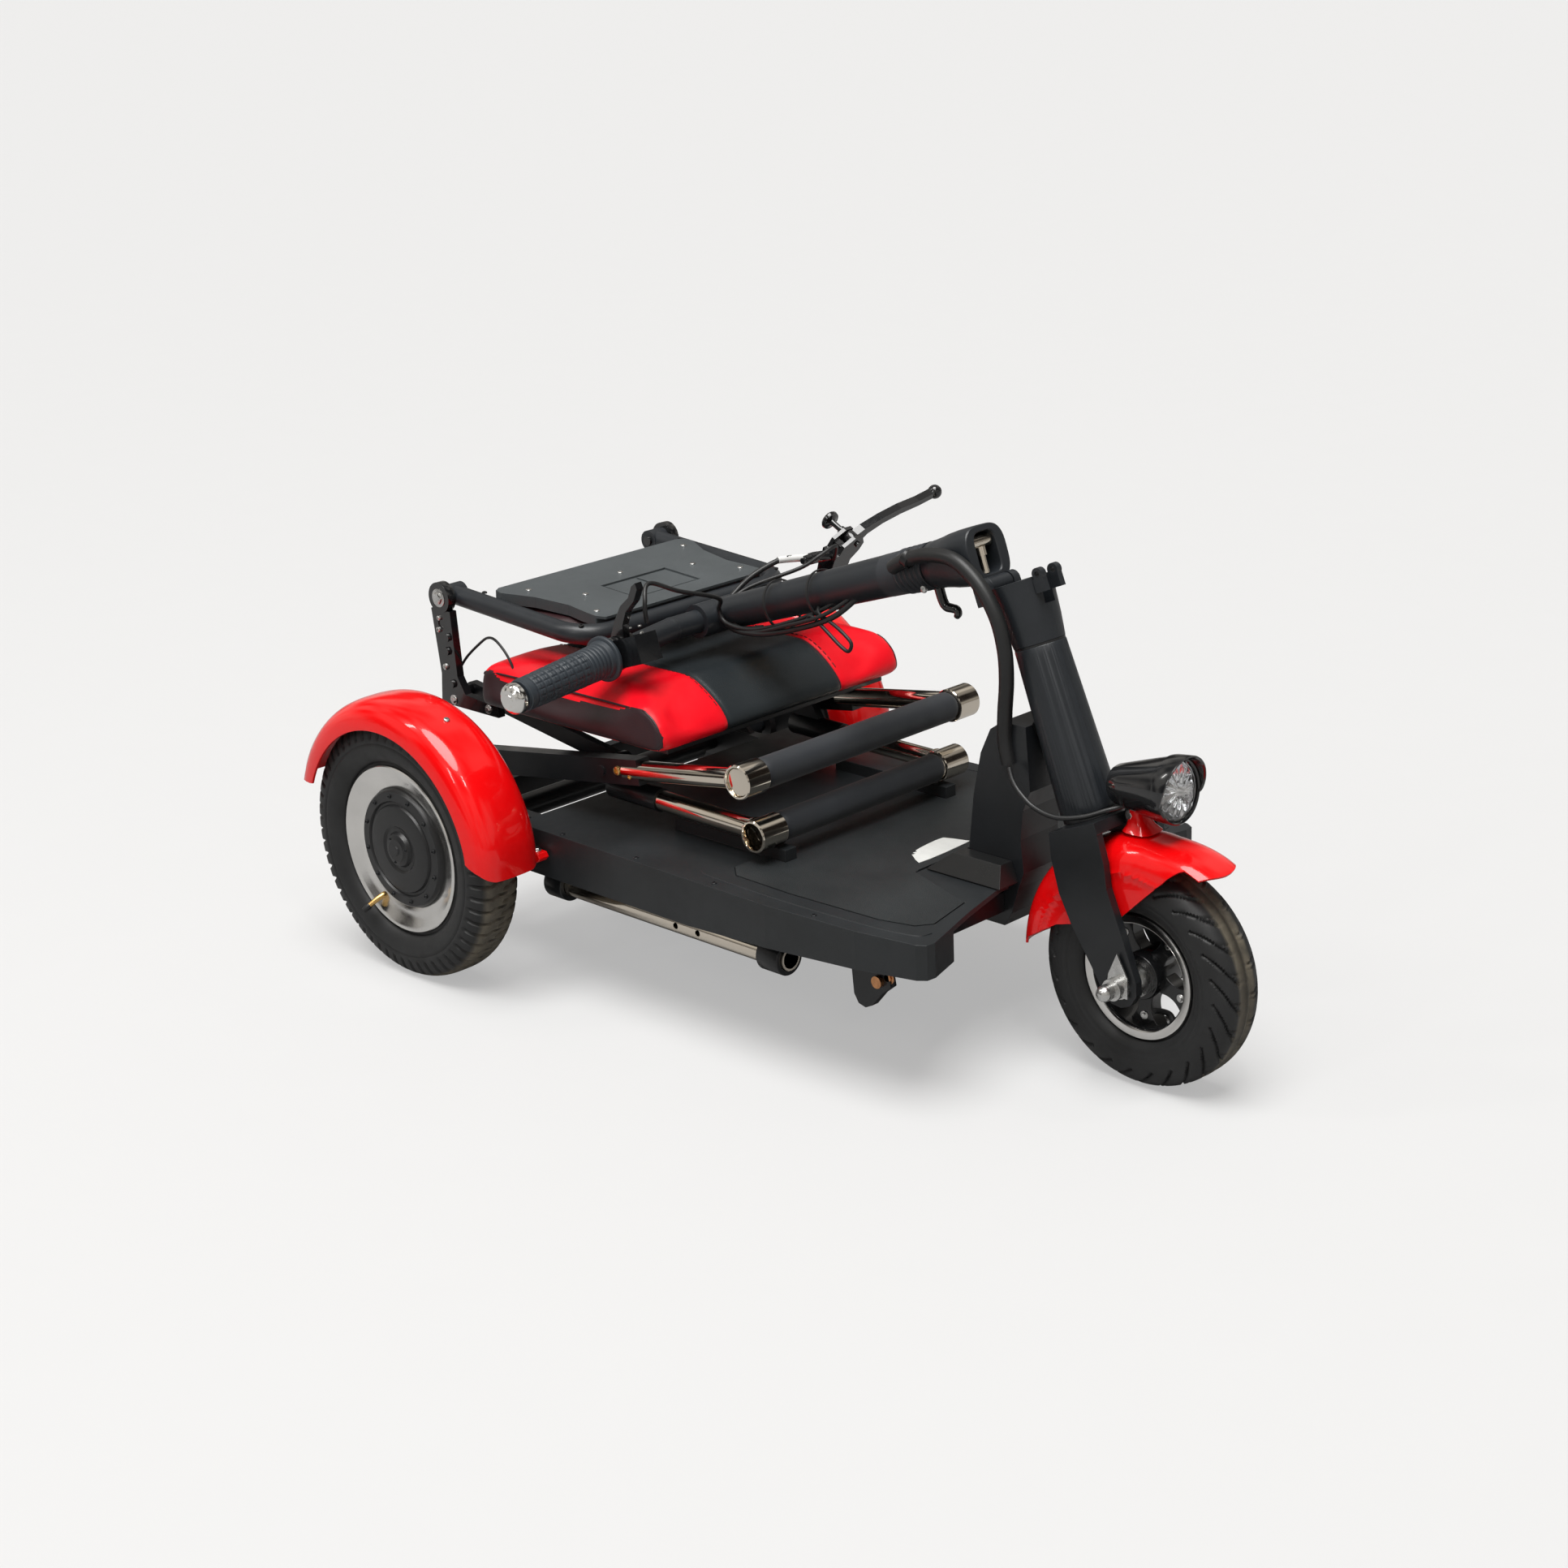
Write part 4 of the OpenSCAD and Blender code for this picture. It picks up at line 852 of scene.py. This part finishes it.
def grip(s):
    """A tapered rubber grip: a flange, rings near it, then rows of raised pads."""
    length = GRIP_LENGTH
    hs = np.concatenate([[0, 0, 0.6, 3.4, 4.0, 4.6], np.linspace(5.2, length - 2, 150),
        [length - 0.6, length, length]])
    n = 96
    rows = []
    for i, h in enumerate(hs):
        core = 16.2 - 2.1 * h / length
        row = []
        for k in range(n):
            a = TAU * k / n
            r = core
            if h < 4.2:
                r = (15.2, 20.7, 21.3, 21.3, 20.7, 18.3)[min(i, 5)]
            elif h < 9:
                r = 18.4 - 0.25 * (h - 4)
            elif h < 32:
                r += 0.6 * bump_at((h % 4.6) - 2.3, 1.1, 0.8)
            elif h < length - 9:
                wide = bump_at(((a / TAU * 16) % 1.0 - 0.5) * 6.2, 2.1, 0.7)
                long = bump_at((h - 34) % 9.4 - 4.7, 3.4, 0.8)
                lines = 1 - 0.55 * bump_at((h % 3.1) - 1.55, 0.15, 0.5)
                r += 0.8 * wide * long * lines
            elif h < length - 2:
                r += 0.9
            if i == len(hs) - 1:
                r = 13.9
            row.append((r * math.cos(a), r * math.sin(a), h))
        rows.append(row)
    inner = [circle(BAR_BORE, h, n) for h in (hs[-1], 0.0)]
    g = Shape().grid(rows + inner + [rows[0]], along_bar(s * GRIP_START), round_j=True)
    g.make("grip_" + SIDE[s], "stem", grip_rubber, "rubber", ["grips"], angle=50)
    cap = Shape().lathe([(0, 10.4), (5.2, 10.4), (5.6, 9.9), (9.4, 9.9), (10.6, 9.0), (12.6, 7.4),
        (13.9, 5.6), (14.3, 3.6), (14.3, 0.6), (13.6, 0.1), (0, 0.1), (0, 10.4)], along_bar(s * BAR_END),
        72)
    cap.make("bar_cap_" + SIDE[s], "stem", alloy, "alloy", ["bar_caps"], angle=30)


grip(-1)
grip(1)


def cable(name, pts, r):
    """A round cable of radius r through points given in BAR."""
    Shape().tube(pts, r, BAR, 14, 10).make(name, "stem", cord_rubber, "rubber", ["bar_cables"])


cable("brake_cable", [(27.6, 106, -37), (31, 92, -33), (34, 70, -27), (27, 45, -13), (16, 25, -4),
    (3, 2, -5), (-13, -14, -28), (-24, -22, -70), (-27, -22, -120), (-24, -19, -168), (-12, -9, -196)], 2.6)
cable("brake_switch_wire", [(20, 124, -42), (33, 108, -66), (29, 88, -64), (22, 70, -50), (17, 30, -17),
    (5, 5, -6), (-6, -8, -18), (-21, -20, -60), (-22, -24, -112), (-20, -22, -160), (-10, -10, -192)], 1.9)
cable("throttle_wire", [(14, -117, -36), (31, -118, -42), (47, -104, -38), (33, -76, -43), (17, -32, -42),
    (6, -20, -26), (-8, -19, -30), (-19, -19, -62), (-20, -18, -110), (-16, -14, -150), (-8, -8, -180)],
    2.1)
cable("horn_wire", [(-6, 72, -38.6), (-9, 70, -46), (-9, 60, -50), (-6, 50, -42), (6, 30, -22),
    (10, 14, -17), (8, 3, -18), (-2, -4, -22), (-15, -10, -34), (-19, -13, -70)], 1.8)
cable("key_wire", [(4, 28.2, -24), (6, 18, -26), (4, 4, -24), (-6, -8, -26), (-17, -14, -46),
    (-22, -17, -90), (-22, -18, -130), (-19, -20, -144), (-34, -21, -158), (-50, -22, -172),
    (-56, -22, -180), (-50, -22, -186), (-40, -22, -180), (-28, -20, -166), (-18, -18, -152),
    (-12, -12, -148)], 1.7)
loop = [(-6, 80.2, -33), (-12, 84, -52), (-14, 66, -78), (-9, 46, -98), (-3, 40, -96), (0, 44, -80),
    (5, 47, -58), (7, 48.6, -42), (5, 48.8, -30)]
cable("switch_loop", loop, 2.0)
sleeve = Shape().tube([(29.0, 99, -35.2), (33, 78, -29), (34.3, 68, -26)], [3.6, 3.6, 3.3], BAR, 14, 6)
sleeve.make("cable_sleeve", "stem", white_plastic, "white_plastic")
tie = Shape()
for z in (-92, -150):
    tie.lathe([(22.5, -1.5), (23.6, -1.2), (23.6, 1.2), (22.5, 1.5), (22.5, -1.5)],
        BAR @ shift(-3.5, -2.5, z), 48)
tie.make("cable_ties", "stem", cord_rubber, "rubber")

# the brake lever's clamp, adjuster, screws and parking button
fit = Shape()
fit.lathe([(0, 17), (3.0, 17), (3.2, 14), (4.6, 13.6), (4.8, 7), (5.6, 6.6), (5.6, 0), (0, 0)],
    BRAKE @ shift(46.9, -33, 1.9) @ turn(90, "X"), 28)
fit.make("brake_adjuster", "stem", gloss_black, "black_paint")
cast = Shape()
for p, d in (((60, 10, 9.4), (0, 0, 1)), ((46, -10, 9.2), (0, 0, 1)), ((30, -9, 9.2), (0, 0, 1)),
        ((14, -4, 9.2), (0, 0, 1)), ((60, 10, -9.2), (0, 0, -1))):
    cast.screw(p, d, 2.8, 1.7, BRAKE)
cast.make("brake_screws", "stem", zinc, "steel")
button = Shape().lathe([(0, 35), (5, 34.8), (8.6, 33.4), (9.6, 31.8), (9.2, 29.6), (6.0, 28.4), (3.4, 27.6),
    (2.9, 24), (2.9, 16), (4.2, 15.2), (4.4, 9.6), (0, 9.6)], BRAKE @ shift(60, 10, 0), 40)
button.make("parking_button", "stem", gloss_black, "black_paint", angle=40)

# throttle housing screws, the key ring and the horn button's bezel
housing = Shape()
for p in ((-8, -131, -42.4), (6, -131, -42.4)):
    housing.screw(p, (0, 0, -1), 2.2, 1.4, BAR)
housing.screw((12.4, -121, -30), (1, 0, 0), 2.0, 1.2, BAR).screw((12.4, -121, -16), (1, 0, 0), 2.0, 1.2,
    BAR)
housing.make("housing_screws", "stem", zinc, "steel")
ring = Shape().lathe([(4.0, -1.9), (10.4, -1.9), (11.3, -1.2), (11.4, 3.4), (11.0, 3.8), (11.0, 0.2),
    (4.0, 0.2), (4.0, -1.9)], BAR @ shift(0, 39, -36), 56)
ring.make("key_ring", "stem", zinc, "steel")
bezel = Shape().lathe([(6.0, -1.4), (8.2, -1.4), (8.9, -0.7), (8.9, 1.2), (6.0, 1.2), (6.0, -1.4)],
    BAR @ shift(1, 72, -40), 48)
bezel.make("horn_bezel", "stem", gloss_black, "black_paint")

# ---------- cable conduit from the steerer to the stem ----------
hose = Shape()
hose.tube([(548, -26, 262), (545, -27, 282), (547, -29, 306), (551, -31, 336), (551, -33, 364),
    (543, -34, 392), (524, -34, 417), (496, -33, 433), (462, -30, 431), (436, -27, 422), (420, -25, 413)],
    6.5, PLACED, 22, 14)
pipe = hose.make("cable_conduit_hose", None, cord_rubber, "rubber", ["cable_conduit"], rides=False)
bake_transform(pipe)
clamp = Shape()
clamp.lathe([(6.3, -4), (8.0, -3.4), (8.0, 3.4), (6.3, 4), (6.3, -4)], PLACED @ shift(441, -27.6,
    424) @ turn(-66, "Y"), 40)
clamp.make("hose_clip", "stem", trim_plastic, "matte_black_plastic")


# ---------- stem casting, its boot and the bag hook ----------
def squarish(half_x, half_y, power, n=96):
    """Points round a superellipse."""
    out = []
    for k in range(n):
        a = TAU * k / n
        ca, sa = math.cos(a), math.sin(a)
        out.append((half_x * math.copysign(abs(ca) ** (2 / power), ca),
            half_y * math.copysign(abs(sa) ** (2 / power), sa)))
    return out


cup = Shape()
rows = []
for z, cx, hx, hy, power in ((62.5, 27, 16.8, 16.8, 2.0), (62.5, 27, 19.6, 19.6, 2.0),
        (61.5, 27, 20.4, 20.4, 2.0), (52, 27, 21.2, 21.0, 2.1), (42, 27, 22.4, 22.2, 2.3),
        (34, 27, 23.6, 23.4, 2.6), (22, 27, 24.6, 24.4, 3.0), (10, 27, 25.0, 25.0, 3.2),
        (1.2, 27, 25.0, 25.0, 3.2), (0.2, 27, 24.2, 24.2, 3.2), (0.2, 28, 18.8, 14.2, 4.5),
        (1.2, 28, 18.0, 13.2, 4.5), (44.0, 28, 17.0, 12.8, 4.5), (45.0, 28, 9.0, 9.0, 2.5)):
    rows.append([(cx + x, y, z) for x, y in squarish(hx, hy, power)])
cup.grid(rows, STEM, round_j=True, cap_i=True)
cup.make("stem_casting", "stem", satin_paint, "black_paint", ["stem_hinge"], angle=40)
knuckle = Shape().lathe([(4.3, -13.4), (6.9, -13.4), (7.5, -12.8), (7.5, 12.8), (6.9, 13.4), (4.3, 13.4),
    (4.3, -13.4)], STEM @ turn(-90, "X"), 48)
knuckle.box((1.5, -13.2, 0.4), (9, 13.2, 6.2), STEM)
knuckle.make("stem_knuckle", "stem", satin_paint, "black_paint", bevel=0.5)
boot, rows = Shape(), []
for z in np.linspace(63.4, 118, 110):
    r = 19.9 - 1.0 * (z - 63) / 55 + 0.9 * math.sin(z * TAU / 6.2) * float(step((100 - z) / 6))
    rows.append([(27 + r * math.cos(TAU * k / 72), r * math.sin(TAU * k / 72), z) for k in range(72)])
boot.grid(rows, STEM, round_j=True, cap_i=True)
boot.make("stem_boot", "stem", foam_sleeve, "rubber", angle=50)
hook = Shape().tube([(8, 0, 66), (-4, 0, 65.6), (-10, 0, 63), (-12.5, 0, 57), (-14.5, 0, 52.5),
    (-18, 0, 52), (-20.5, 0, 55)], [4.6, 4.4, 4.2, 4.0, 3.8, 3.6, 2.6], STEM, 18, 8)
hook.make("bag_hook_cast", "stem", gloss_black, "matte_black_plastic", ["bag_hook"])
Shape().screw((10, -18.3, 66), (0, -1, 0), 3.4, 2.2, STEM).make("hook_screw", "stem", zinc, "steel")


# ---------- lamp ----------
shell = Shape()
shell.lathe([(0, -1), (12, -1), (15.6, 0.6), (17.4, 4), (19.6, 14), (22.4, 27), (25.2, 40), (27.2, 50),
    (28.2, 58), (28.4, 63), (27.4, 64.2), (25.9, 63.4), (25.6, 58), (24, 48), (19, 36), (8, 34), (0, 34),
    (0, -1)], LAMP, 96)
hood = []
for a in np.linspace(-1.85, 1.85, 61):
    tip = 63 + 13.0 * math.cos(a / 1.85 * math.pi / 2) ** 0.7
    row = [(28.3, 56), (29.6, 57), (30.2, 60), (30.4, tip - 1.2), (30.0, tip), (28.8, tip),
        (28.0, tip - 1.2), (27.9, 60), (28.3, 56)]
    hood.append([(-r * math.cos(a), r * math.sin(a), h) for r, h in row])
shell.grid(hood, LAMP, cap_i=True)
shell.make("lamp_housing", "steerer", gloss_black, "black_paint", ["lamp_shell"], angle=32)
brk = Shape().box((655.8, -7, 227), (667, 7, 243))
brk.make("lamp_foot", "steerer", gloss_black, "black_paint", bevel=1.6)
mirror_ring = Shape()
rows = []
for h, r in ((36, 5.0), (40, 9.5), (45, 14.5), (50, 18.8), (55, 22.0), (58, 23.4)):
    row = []
    for k in range(72):
        facet = 0.7 * abs(((k / 72 * 18) % 1.0) - 0.5)
        row.append(((r - facet) * math.cos(TAU * k / 72), (r - facet) * math.sin(TAU * k / 72), h))
    rows.append(row)
outer = [circle(r, h, 72) for h, r in ((58, 24.4), (35, 7))]
mirror_ring.grid(rows + outer, LAMP, round_i=True, round_j=True)
mirror_ring.make("lamp_mirror", "steerer", mirror, "mirror", ["lamp_reflector"], angle=20)
bulb = Shape()
for k in range(3):
    bulb.lathe([(0, 44), (3.4, 44), (4.2, 43), (4.2, 38), (0, 38)], LAMP @ turn(120 * k + 30,
        "Z") @ shift(6.2, 0, 6), 24)
bulb.lathe([(0, 47), (12.4, 47), (13, 46.2), (13, 44), (0, 44)], LAMP, 48)
bulb.make("lamp_leds", "steerer", white_plastic, "white_plastic")
front = []
for r in (0, 3, 6.5, 7.2, 10, 13.2, 14, 17, 20, 22.2, 23.4, 24.6):
    row = []
    for k in range(96):
        dome = 61.8 + 2.6 * (1 - (r / 25) ** 2) + (0.5 * math.cos(k / 96 * TAU * 12) if 7 < r < 22 else 0)
        row.append((r * math.cos(TAU * k / 96), r * math.sin(TAU * k / 96), dome))
    front.append(row)
rear = [circle(r, 59.3, 96) for r in (24.6, 0)]
Shape().grid(front + rear, LAMP, round_i=True, round_j=True).make("lamp_glass", "steerer", lens_clear,
    "lens", ["lamp_lens"], angle=25)
wire = Shape().tube([(556, -35, 262), (562, -38, 253), (572, -40, 244), (588, -41, 235), (610, -40, 231),
    (632, -32, 234), (648, -21, 240), (657, -12, 243), (662, -8, 246)], 2.2, PLACED, 14, 10)
wire.make("lamp_cord", "steerer", cord_rubber, "rubber", ["lamp_wire"])
nuts = Shape().screw((662, -7.2, 235), (0, -1, 0), 3.2, 2.2, PLACED, "hex").screw((662, 7.2, 235),
    (0, 1, 0), 3.2, 2.2, PLACED, "hex")
nuts.make("lamp_bolts", "steerer", zinc, "steel")

# ---------- scissor tubes, tees and foam sleeves ----------
BAR_X, OUTER_Z, INNER_Z = 346.9, 236.6, 181.7
OUTER_Y, INNER_Y, LEG_R = 141, 121, 9.5


def tee(shape, z, y0, y1, r, hollow):
    """A chrome tee end on each side of a crossbar, open outwards to the depth hollow."""
    for s in (-1, 1):
        prof = [(r - 2.6, y0), (r - 0.7, y0), (r, y0 + 0.8), (r, y1 - 0.9), (r - 0.9, y1), (r - 2.2, y1),
                (r - 2.6, y1 - 0.8), (r - 2.6, y1 - hollow), (r - 2.6, y0)]
        shape.lathe([(a, s * b) for a, b in prof], PLACED @ shift(BAR_X, 0, z) @ turn(-90, "X"), 72)
    return shape


def sleeve(name, body, z, half, r, node):
    """The foam cover of a crossbar, rounded in at its ends."""
    rows, n = [], 48
    for y in np.linspace(-half, half, 90):
        edge = 1.6 * float(step((abs(y) - half + 4) / 4))
        rows.append([((r - edge + 0.12 * math.sin(y * 0.21 + math.cos(TAU * k / n))) * math.cos(TAU * k / n), y, (r - edge) * math.sin(TAU * k / n)) for k in range(n)])
    Shape().grid(rows, PLACED @ shift(BAR_X, 0, z), round_j=True, cap_i=True).make(
        name, body, foam_sleeve, "rubber", [node], angle=50)


upper = tee(Shape(), OUTER_Z, 125.6, 152.9, 15.8, 3)
lower = tee(Shape(), INNER_Z, 105.6, 137.0, 14.8, 22)
plugs = Shape()
for s in (-1, 1):
    upper.tube([(212, s * OUTER_Y, 0), (356, s * OUTER_Y, 0)], LEG_R, ARM, 40)
    upper.lathe([(9.2, -2), (11.4, -1.4), (11.0, 0.6), (9.3, 2.6), (9.2, -2)], ARM @ shift(352.0,
        s * OUTER_Y, 0) @ turn(-90, "Y"), 40)
    lower.tube([(196, s * INNER_Y, 183.2), (335, s * INNER_Y, 181.8)], LEG_R, PLACED, 40)
    lower.lathe([(9.2, -2), (11.2, -1.4), (10.8, 0.6), (9.3, 2.6), (9.2, -2)], PLACED @ shift(332.6,
        s * INNER_Y, 181.8) @ turn(-90, "Y"), 40)
    plugs.lathe([(0, s * 151.4), (11.4, s * 151.4), (12.6, s * 151.0), (13.2, s * 149.6), (13.2, s * 146.0),
        (0, s * 146.0)], PLACED @ shift(BAR_X, 0, OUTER_Z) @ turn(-90, "X"), 56)
upper.make("outer_tubes", "outer_arms", chrome, "chrome", ["outer_chrome"], angle=35)
lower.make("inner_tubes", "inner_arms", chrome, "chrome", ["inner_chrome"], angle=35)
plugs.make("tee_plugs", "outer_arms", chrome, "chrome", angle=35)
sleeve("upper_sleeve", "outer_arms", OUTER_Z, 125.3, 14.2, "outer_crossbar")
sleeve("lower_sleeve", "inner_arms", INNER_Z, 105.3, 13.6, "inner_crossbar")
rivets = Shape()
for s in (-1, 1):
    rivets.screw((207, s * 149, 1), (0, s, 0), 4.6, 2.6, ARM)
    rivets.screw((222, s * 149, -4), (0, s, 0), 2.6, 1.4, ARM)
rivets.make("arm_bolts", "outer_arms", brass, "brass")

# ---------- backrest ----------
heads = Shape()
for x, y in ((73, -100), (165, -96), (69, 106), (161, 95), (120, -70), (120, 70), (92, 0)):
    heads.screw((x, y, 13.5), (0, 0, 1), 3.0, 1.1, BACK)
heads.make("board_screws", "backrest", zinc, "steel")
latch_plate = Shape()
for lo, hi in (((113, -39, 11.8), (157, -2, 12.9)), ((113, 2, 11.8), (157, 39, 12.9))):
    latch_plate.box(lo, hi, BACK)
latch_plate.make("board_plate", "backrest", board_plastic, "grey_shell", bevel=0.5)
ends = Shape()
for s in (-1, 1):
    ends.lathe([(0, s * 144.2), (6.4, s * 144.2), (8.6, s * 143.4), (9.6, s * 142.0), (0, s * 141.6)],
        BACK @ turn(-90, "X"), 40)
    for x in (40, 178):
        ends.screw((x, s * 127, 9.2), (0, 0, 1), 2.6, 1.2, BACK)
ends.make("back_pivot_caps", "backrest", gloss_black, "black_paint")
bolts = Shape()
for s in (-1, 1):
    for x, z, r, kind in ((-52, 270, 3.4, "dome"), (-44, 238, 3.4, "hex"), (-58, 306, 3.0, "dome"),
            (8, 238, 3.2, "hex"), (-56, 318, 2.6, "dome")):
        bolts.screw((x, s * 150, z), (0, s, 0), r, 2.4, PLACED, kind)
    bolts.screw((-54, s * 151, 338), (0, s, 0), 6.2, 3.2, PLACED, "hex")
bolts.make("bracket_bolts", "seat", zinc, "steel")
for s in (-1, 1):
    wire = [(-44, s * 144, 262), (-32, s * 140.5, 280), (-10, s * 140, 298), (4, s * 141, 306),
        (18, s * 143, 306), (34, s * 144.5, 296), (44, s * 145, 282), (48, s * 145, 268)]
    Shape().tube(wire, 1.3, PLACED, 10, 10).make("back_cord_" + SIDE[s], "seat", cord_rubber, "rubber")

# ---------- deck ----------
tape = Shape()
edge = [(443, -34), (450, -39), (458, -43), (459, -30), (459, -10), (458, 10), (457, 26.5), (449, 24),
        (441, 21.5), (432.5, 18), (431.8, 8), (432.6, -4), (433.6, -14), (435.2, -22), (438.4, -23.5),
        (436.8, -27.5), (441.2, -28.2), (439.4, -31.8)]
tape.prism(edge, 155.6, 156.15)
tape.make("deck_tape", "frame", tape_white, "white_plastic", bevel=0.12)
rim = Shape()
for s in (-1, 1):
    path = [(322, s * 176, 0), (338, s * 178.6, 0), (420, s * 181, 0), (520, s * 177, 0), (566, s * 169, 0),
            (574, s * 158, 0)]
    c = smooth(path, 8)
    rows = [[(x, y - s * 1.6, 154.6), (x, y - s * 0.8, 155.7), (x, y + s * 0.8, 155.7),
        (x, y + s * 1.6, 154.6)] for x, y, _ in c]
    rim.grid(rows, PLACED, cap_i=True)
rim.make("deck_rib", "frame", deck_plastic, "matte_black_plastic", angle=40)
studs = Shape()
for s in (-1, 1):
    for x in (150, 250, 350, 470):
        studs.screw((x, s * 188.5, 155.0), (0, 0, 1), 2.6, 1.0)
studs.make("deck_screws", "frame", frame_paint, "black_paint")
rust = Shape()
for s in (-1, 1):
    rust.screw((520, s * 152.6, 100), (0, s, 0), 4.2, 2.4, PLACED, "hex")
rust.make("foot_bolts", "frame", copper, "steel")

mount = Shape()
rows = []
for z, x0, x1, hy in ((222, 655, 684, 15), (227, 657.5, 678, 10.5), (233, 658.5, 673, 8.6),
        (241, 659, 670, 8.2)):
    rows.append([((x0 + x1) / 2 + x, y, z) for x, y in squarish((x1 - x0) / 2, hy, 3.2, 48)])
mount.grid(rows, PLACED, round_j=True, cap_i=True)
mount.make("lamp_mount", "steerer", red_gloss, "red_paint", angle=40)


# ---------- camera, light and floor ----------
LENS_MM, SENSOR_MM = 62.49, 36.0


def camera():
    """The photo's view, as solved from the wheels and the crossbars."""
    az, el, roll = math.radians(45.27), math.radians(18.96), math.radians(-2.47)
    back = Vector((math.sin(az) * math.cos(el), -math.cos(az) * math.cos(el), math.sin(el)))
    right = (-back).cross(Vector((0, 0, 1))).normalized()
    up = right.cross(-back)
    r = right * math.cos(roll) + up * math.sin(roll)
    u = up * math.cos(roll) - right * math.sin(roll)
    cam = bpy.data.objects.new("camera", bpy.data.cameras.new("camera"))
    cam.data.lens, cam.data.sensor_width = LENS_MM, SENSOR_MM
    cam.data.clip_start, cam.data.clip_end = 0.05, 200.0
    bpy.context.scene.collection.objects.link(cam)
    place = Vector((1.64363, -1.69513, 1.00082))
    cam.matrix_world = Matrix(((r.x, u.x, back.x, place.x), (r.y, u.y, back.y, place.y),
        (r.z, u.z, back.z, place.z), (0, 0, 0, 1)))
    bpy.context.scene.camera = cam


def area_light(name, place, target, size, power, colour=(1, 1, 1), size_y=None):
    data = bpy.data.lights.new(name, "AREA")
    data.energy, data.size, data.color = power, size, colour
    if size_y:
        data.shape, data.size_y = "RECTANGLE", size_y
    o = bpy.data.objects.new(name, data)
    bpy.context.scene.collection.objects.link(o)
    o.location = place
    o.rotation_euler = (Vector(target) - Vector(place)).to_track_quat("-Z", "Y").to_euler()


FLOOR_SEEN, FLOOR_LIT = 0.415, 0.0
SKY_SEEN, SKY_LIT = 0.885, 0.26


def seen_bright(nt, socket, seen, lit):
    """The value seen by the camera, and the value that lights the object."""
    path = nt.nodes.new("ShaderNodeLightPath")
    r = nt.nodes.new("ShaderNodeMapRange")
    r.inputs["To Min"].default_value, r.inputs["To Max"].default_value = lit, seen
    nt.links.new(path.outputs["Is Camera Ray"], r.inputs["Value"])
    nt.links.new(r.outputs["Result"], socket)


def room(nt, socket):
    """A plain white sky for the camera; soft warm and dark patches for reflections."""
    noise = nt.nodes.new("ShaderNodeTexNoise")
    noise.inputs["Scale"].default_value, noise.inputs["Detail"].default_value = 2.3, 1.0
    nt.links.new(nt.nodes.new("ShaderNodeTexCoord").outputs["Generated"], noise.inputs["Vector"])
    tint = nt.nodes.new("ShaderNodeValToRGB")
    tint.color_ramp.elements[0].position, tint.color_ramp.elements[0].color = 0.42, (0.05, 0.04, 0.035, 1)
    tint.color_ramp.elements[1].position, tint.color_ramp.elements[1].color = 0.60, (2.2, 2.1, 1.95, 1)
    nt.links.new(noise.outputs["Fac"], tint.inputs["Fac"])
    x = nt.nodes.new("ShaderNodeMix")
    x.data_type = "RGBA"
    nt.links.new(nt.nodes.new("ShaderNodeLightPath").outputs["Is Camera Ray"], x.inputs[0])
    nt.links.new(tint.outputs["Color"], x.inputs[6])
    x.inputs[7].default_value = (1, 1, 1, 1)
    nt.links.new(x.outputs[2], socket)


def floor():
    """A wide white ground that only catches shadows."""
    me = bpy.data.meshes.new("floor")
    me.from_pydata([(-60, -60, 0), (60, -60, 0), (60, 60, 0), (-60, 60, 0)], [], [(0, 1, 2, 3)])
    o = bpy.data.objects.new("floor", me)
    bpy.context.scene.collection.objects.link(o)
    paint = material("floor_paint", (0.32, 0.32, 0.32), 0.9, vary=0.004, specular=0.0)
    seen_bright(paint.node_tree, paint.node_tree.nodes["Principled BSDF"].inputs["Emission Strength"],
        FLOOR_SEEN, FLOOR_LIT)
    paint.node_tree.nodes["Principled BSDF"].inputs["Emission Color"].default_value = (1, 1, 1, 1)
    me.materials.append(paint)


camera()
floor()
bpy.context.scene.view_settings.view_transform = "Standard"
world = bpy.data.worlds.new("studio")
bpy.context.scene.world = world
world.use_nodes = True
room(world.node_tree, world.node_tree.nodes["Background"].inputs["Color"])
seen_bright(world.node_tree, world.node_tree.nodes["Background"].inputs["Strength"], SKY_SEEN, SKY_LIT)
sun = bpy.data.lights.new("ceiling", "SUN")
sun.energy, sun.angle, sun.color = 3.5, math.radians(40), (1.0, 0.995, 0.985)
sun_o = bpy.data.objects.new("ceiling", sun)
sun_o.rotation_euler = Vector((0.12, -0.22, 1.0)).to_track_quat("Z", "Y").to_euler()
bpy.context.scene.collection.objects.link(sun_o)
area_light("lamp_a", (1.3, -0.9, 2.3), (0.1, 0, 0.25), 0.16, 5, (1.0, 0.98, 0.95), 0.4)
area_light("lamp_b", (-1.2, -1.3, 2.1), (-0.3, -0.2, 0.2), 0.14, 5, (1.0, 0.98, 0.95), 0.6)
area_light("lamp_c", (0.2, -1.9, 1.5), (-0.1, -0.2, 0.2), 0.12, 3, (1, 1, 1), 0.5)
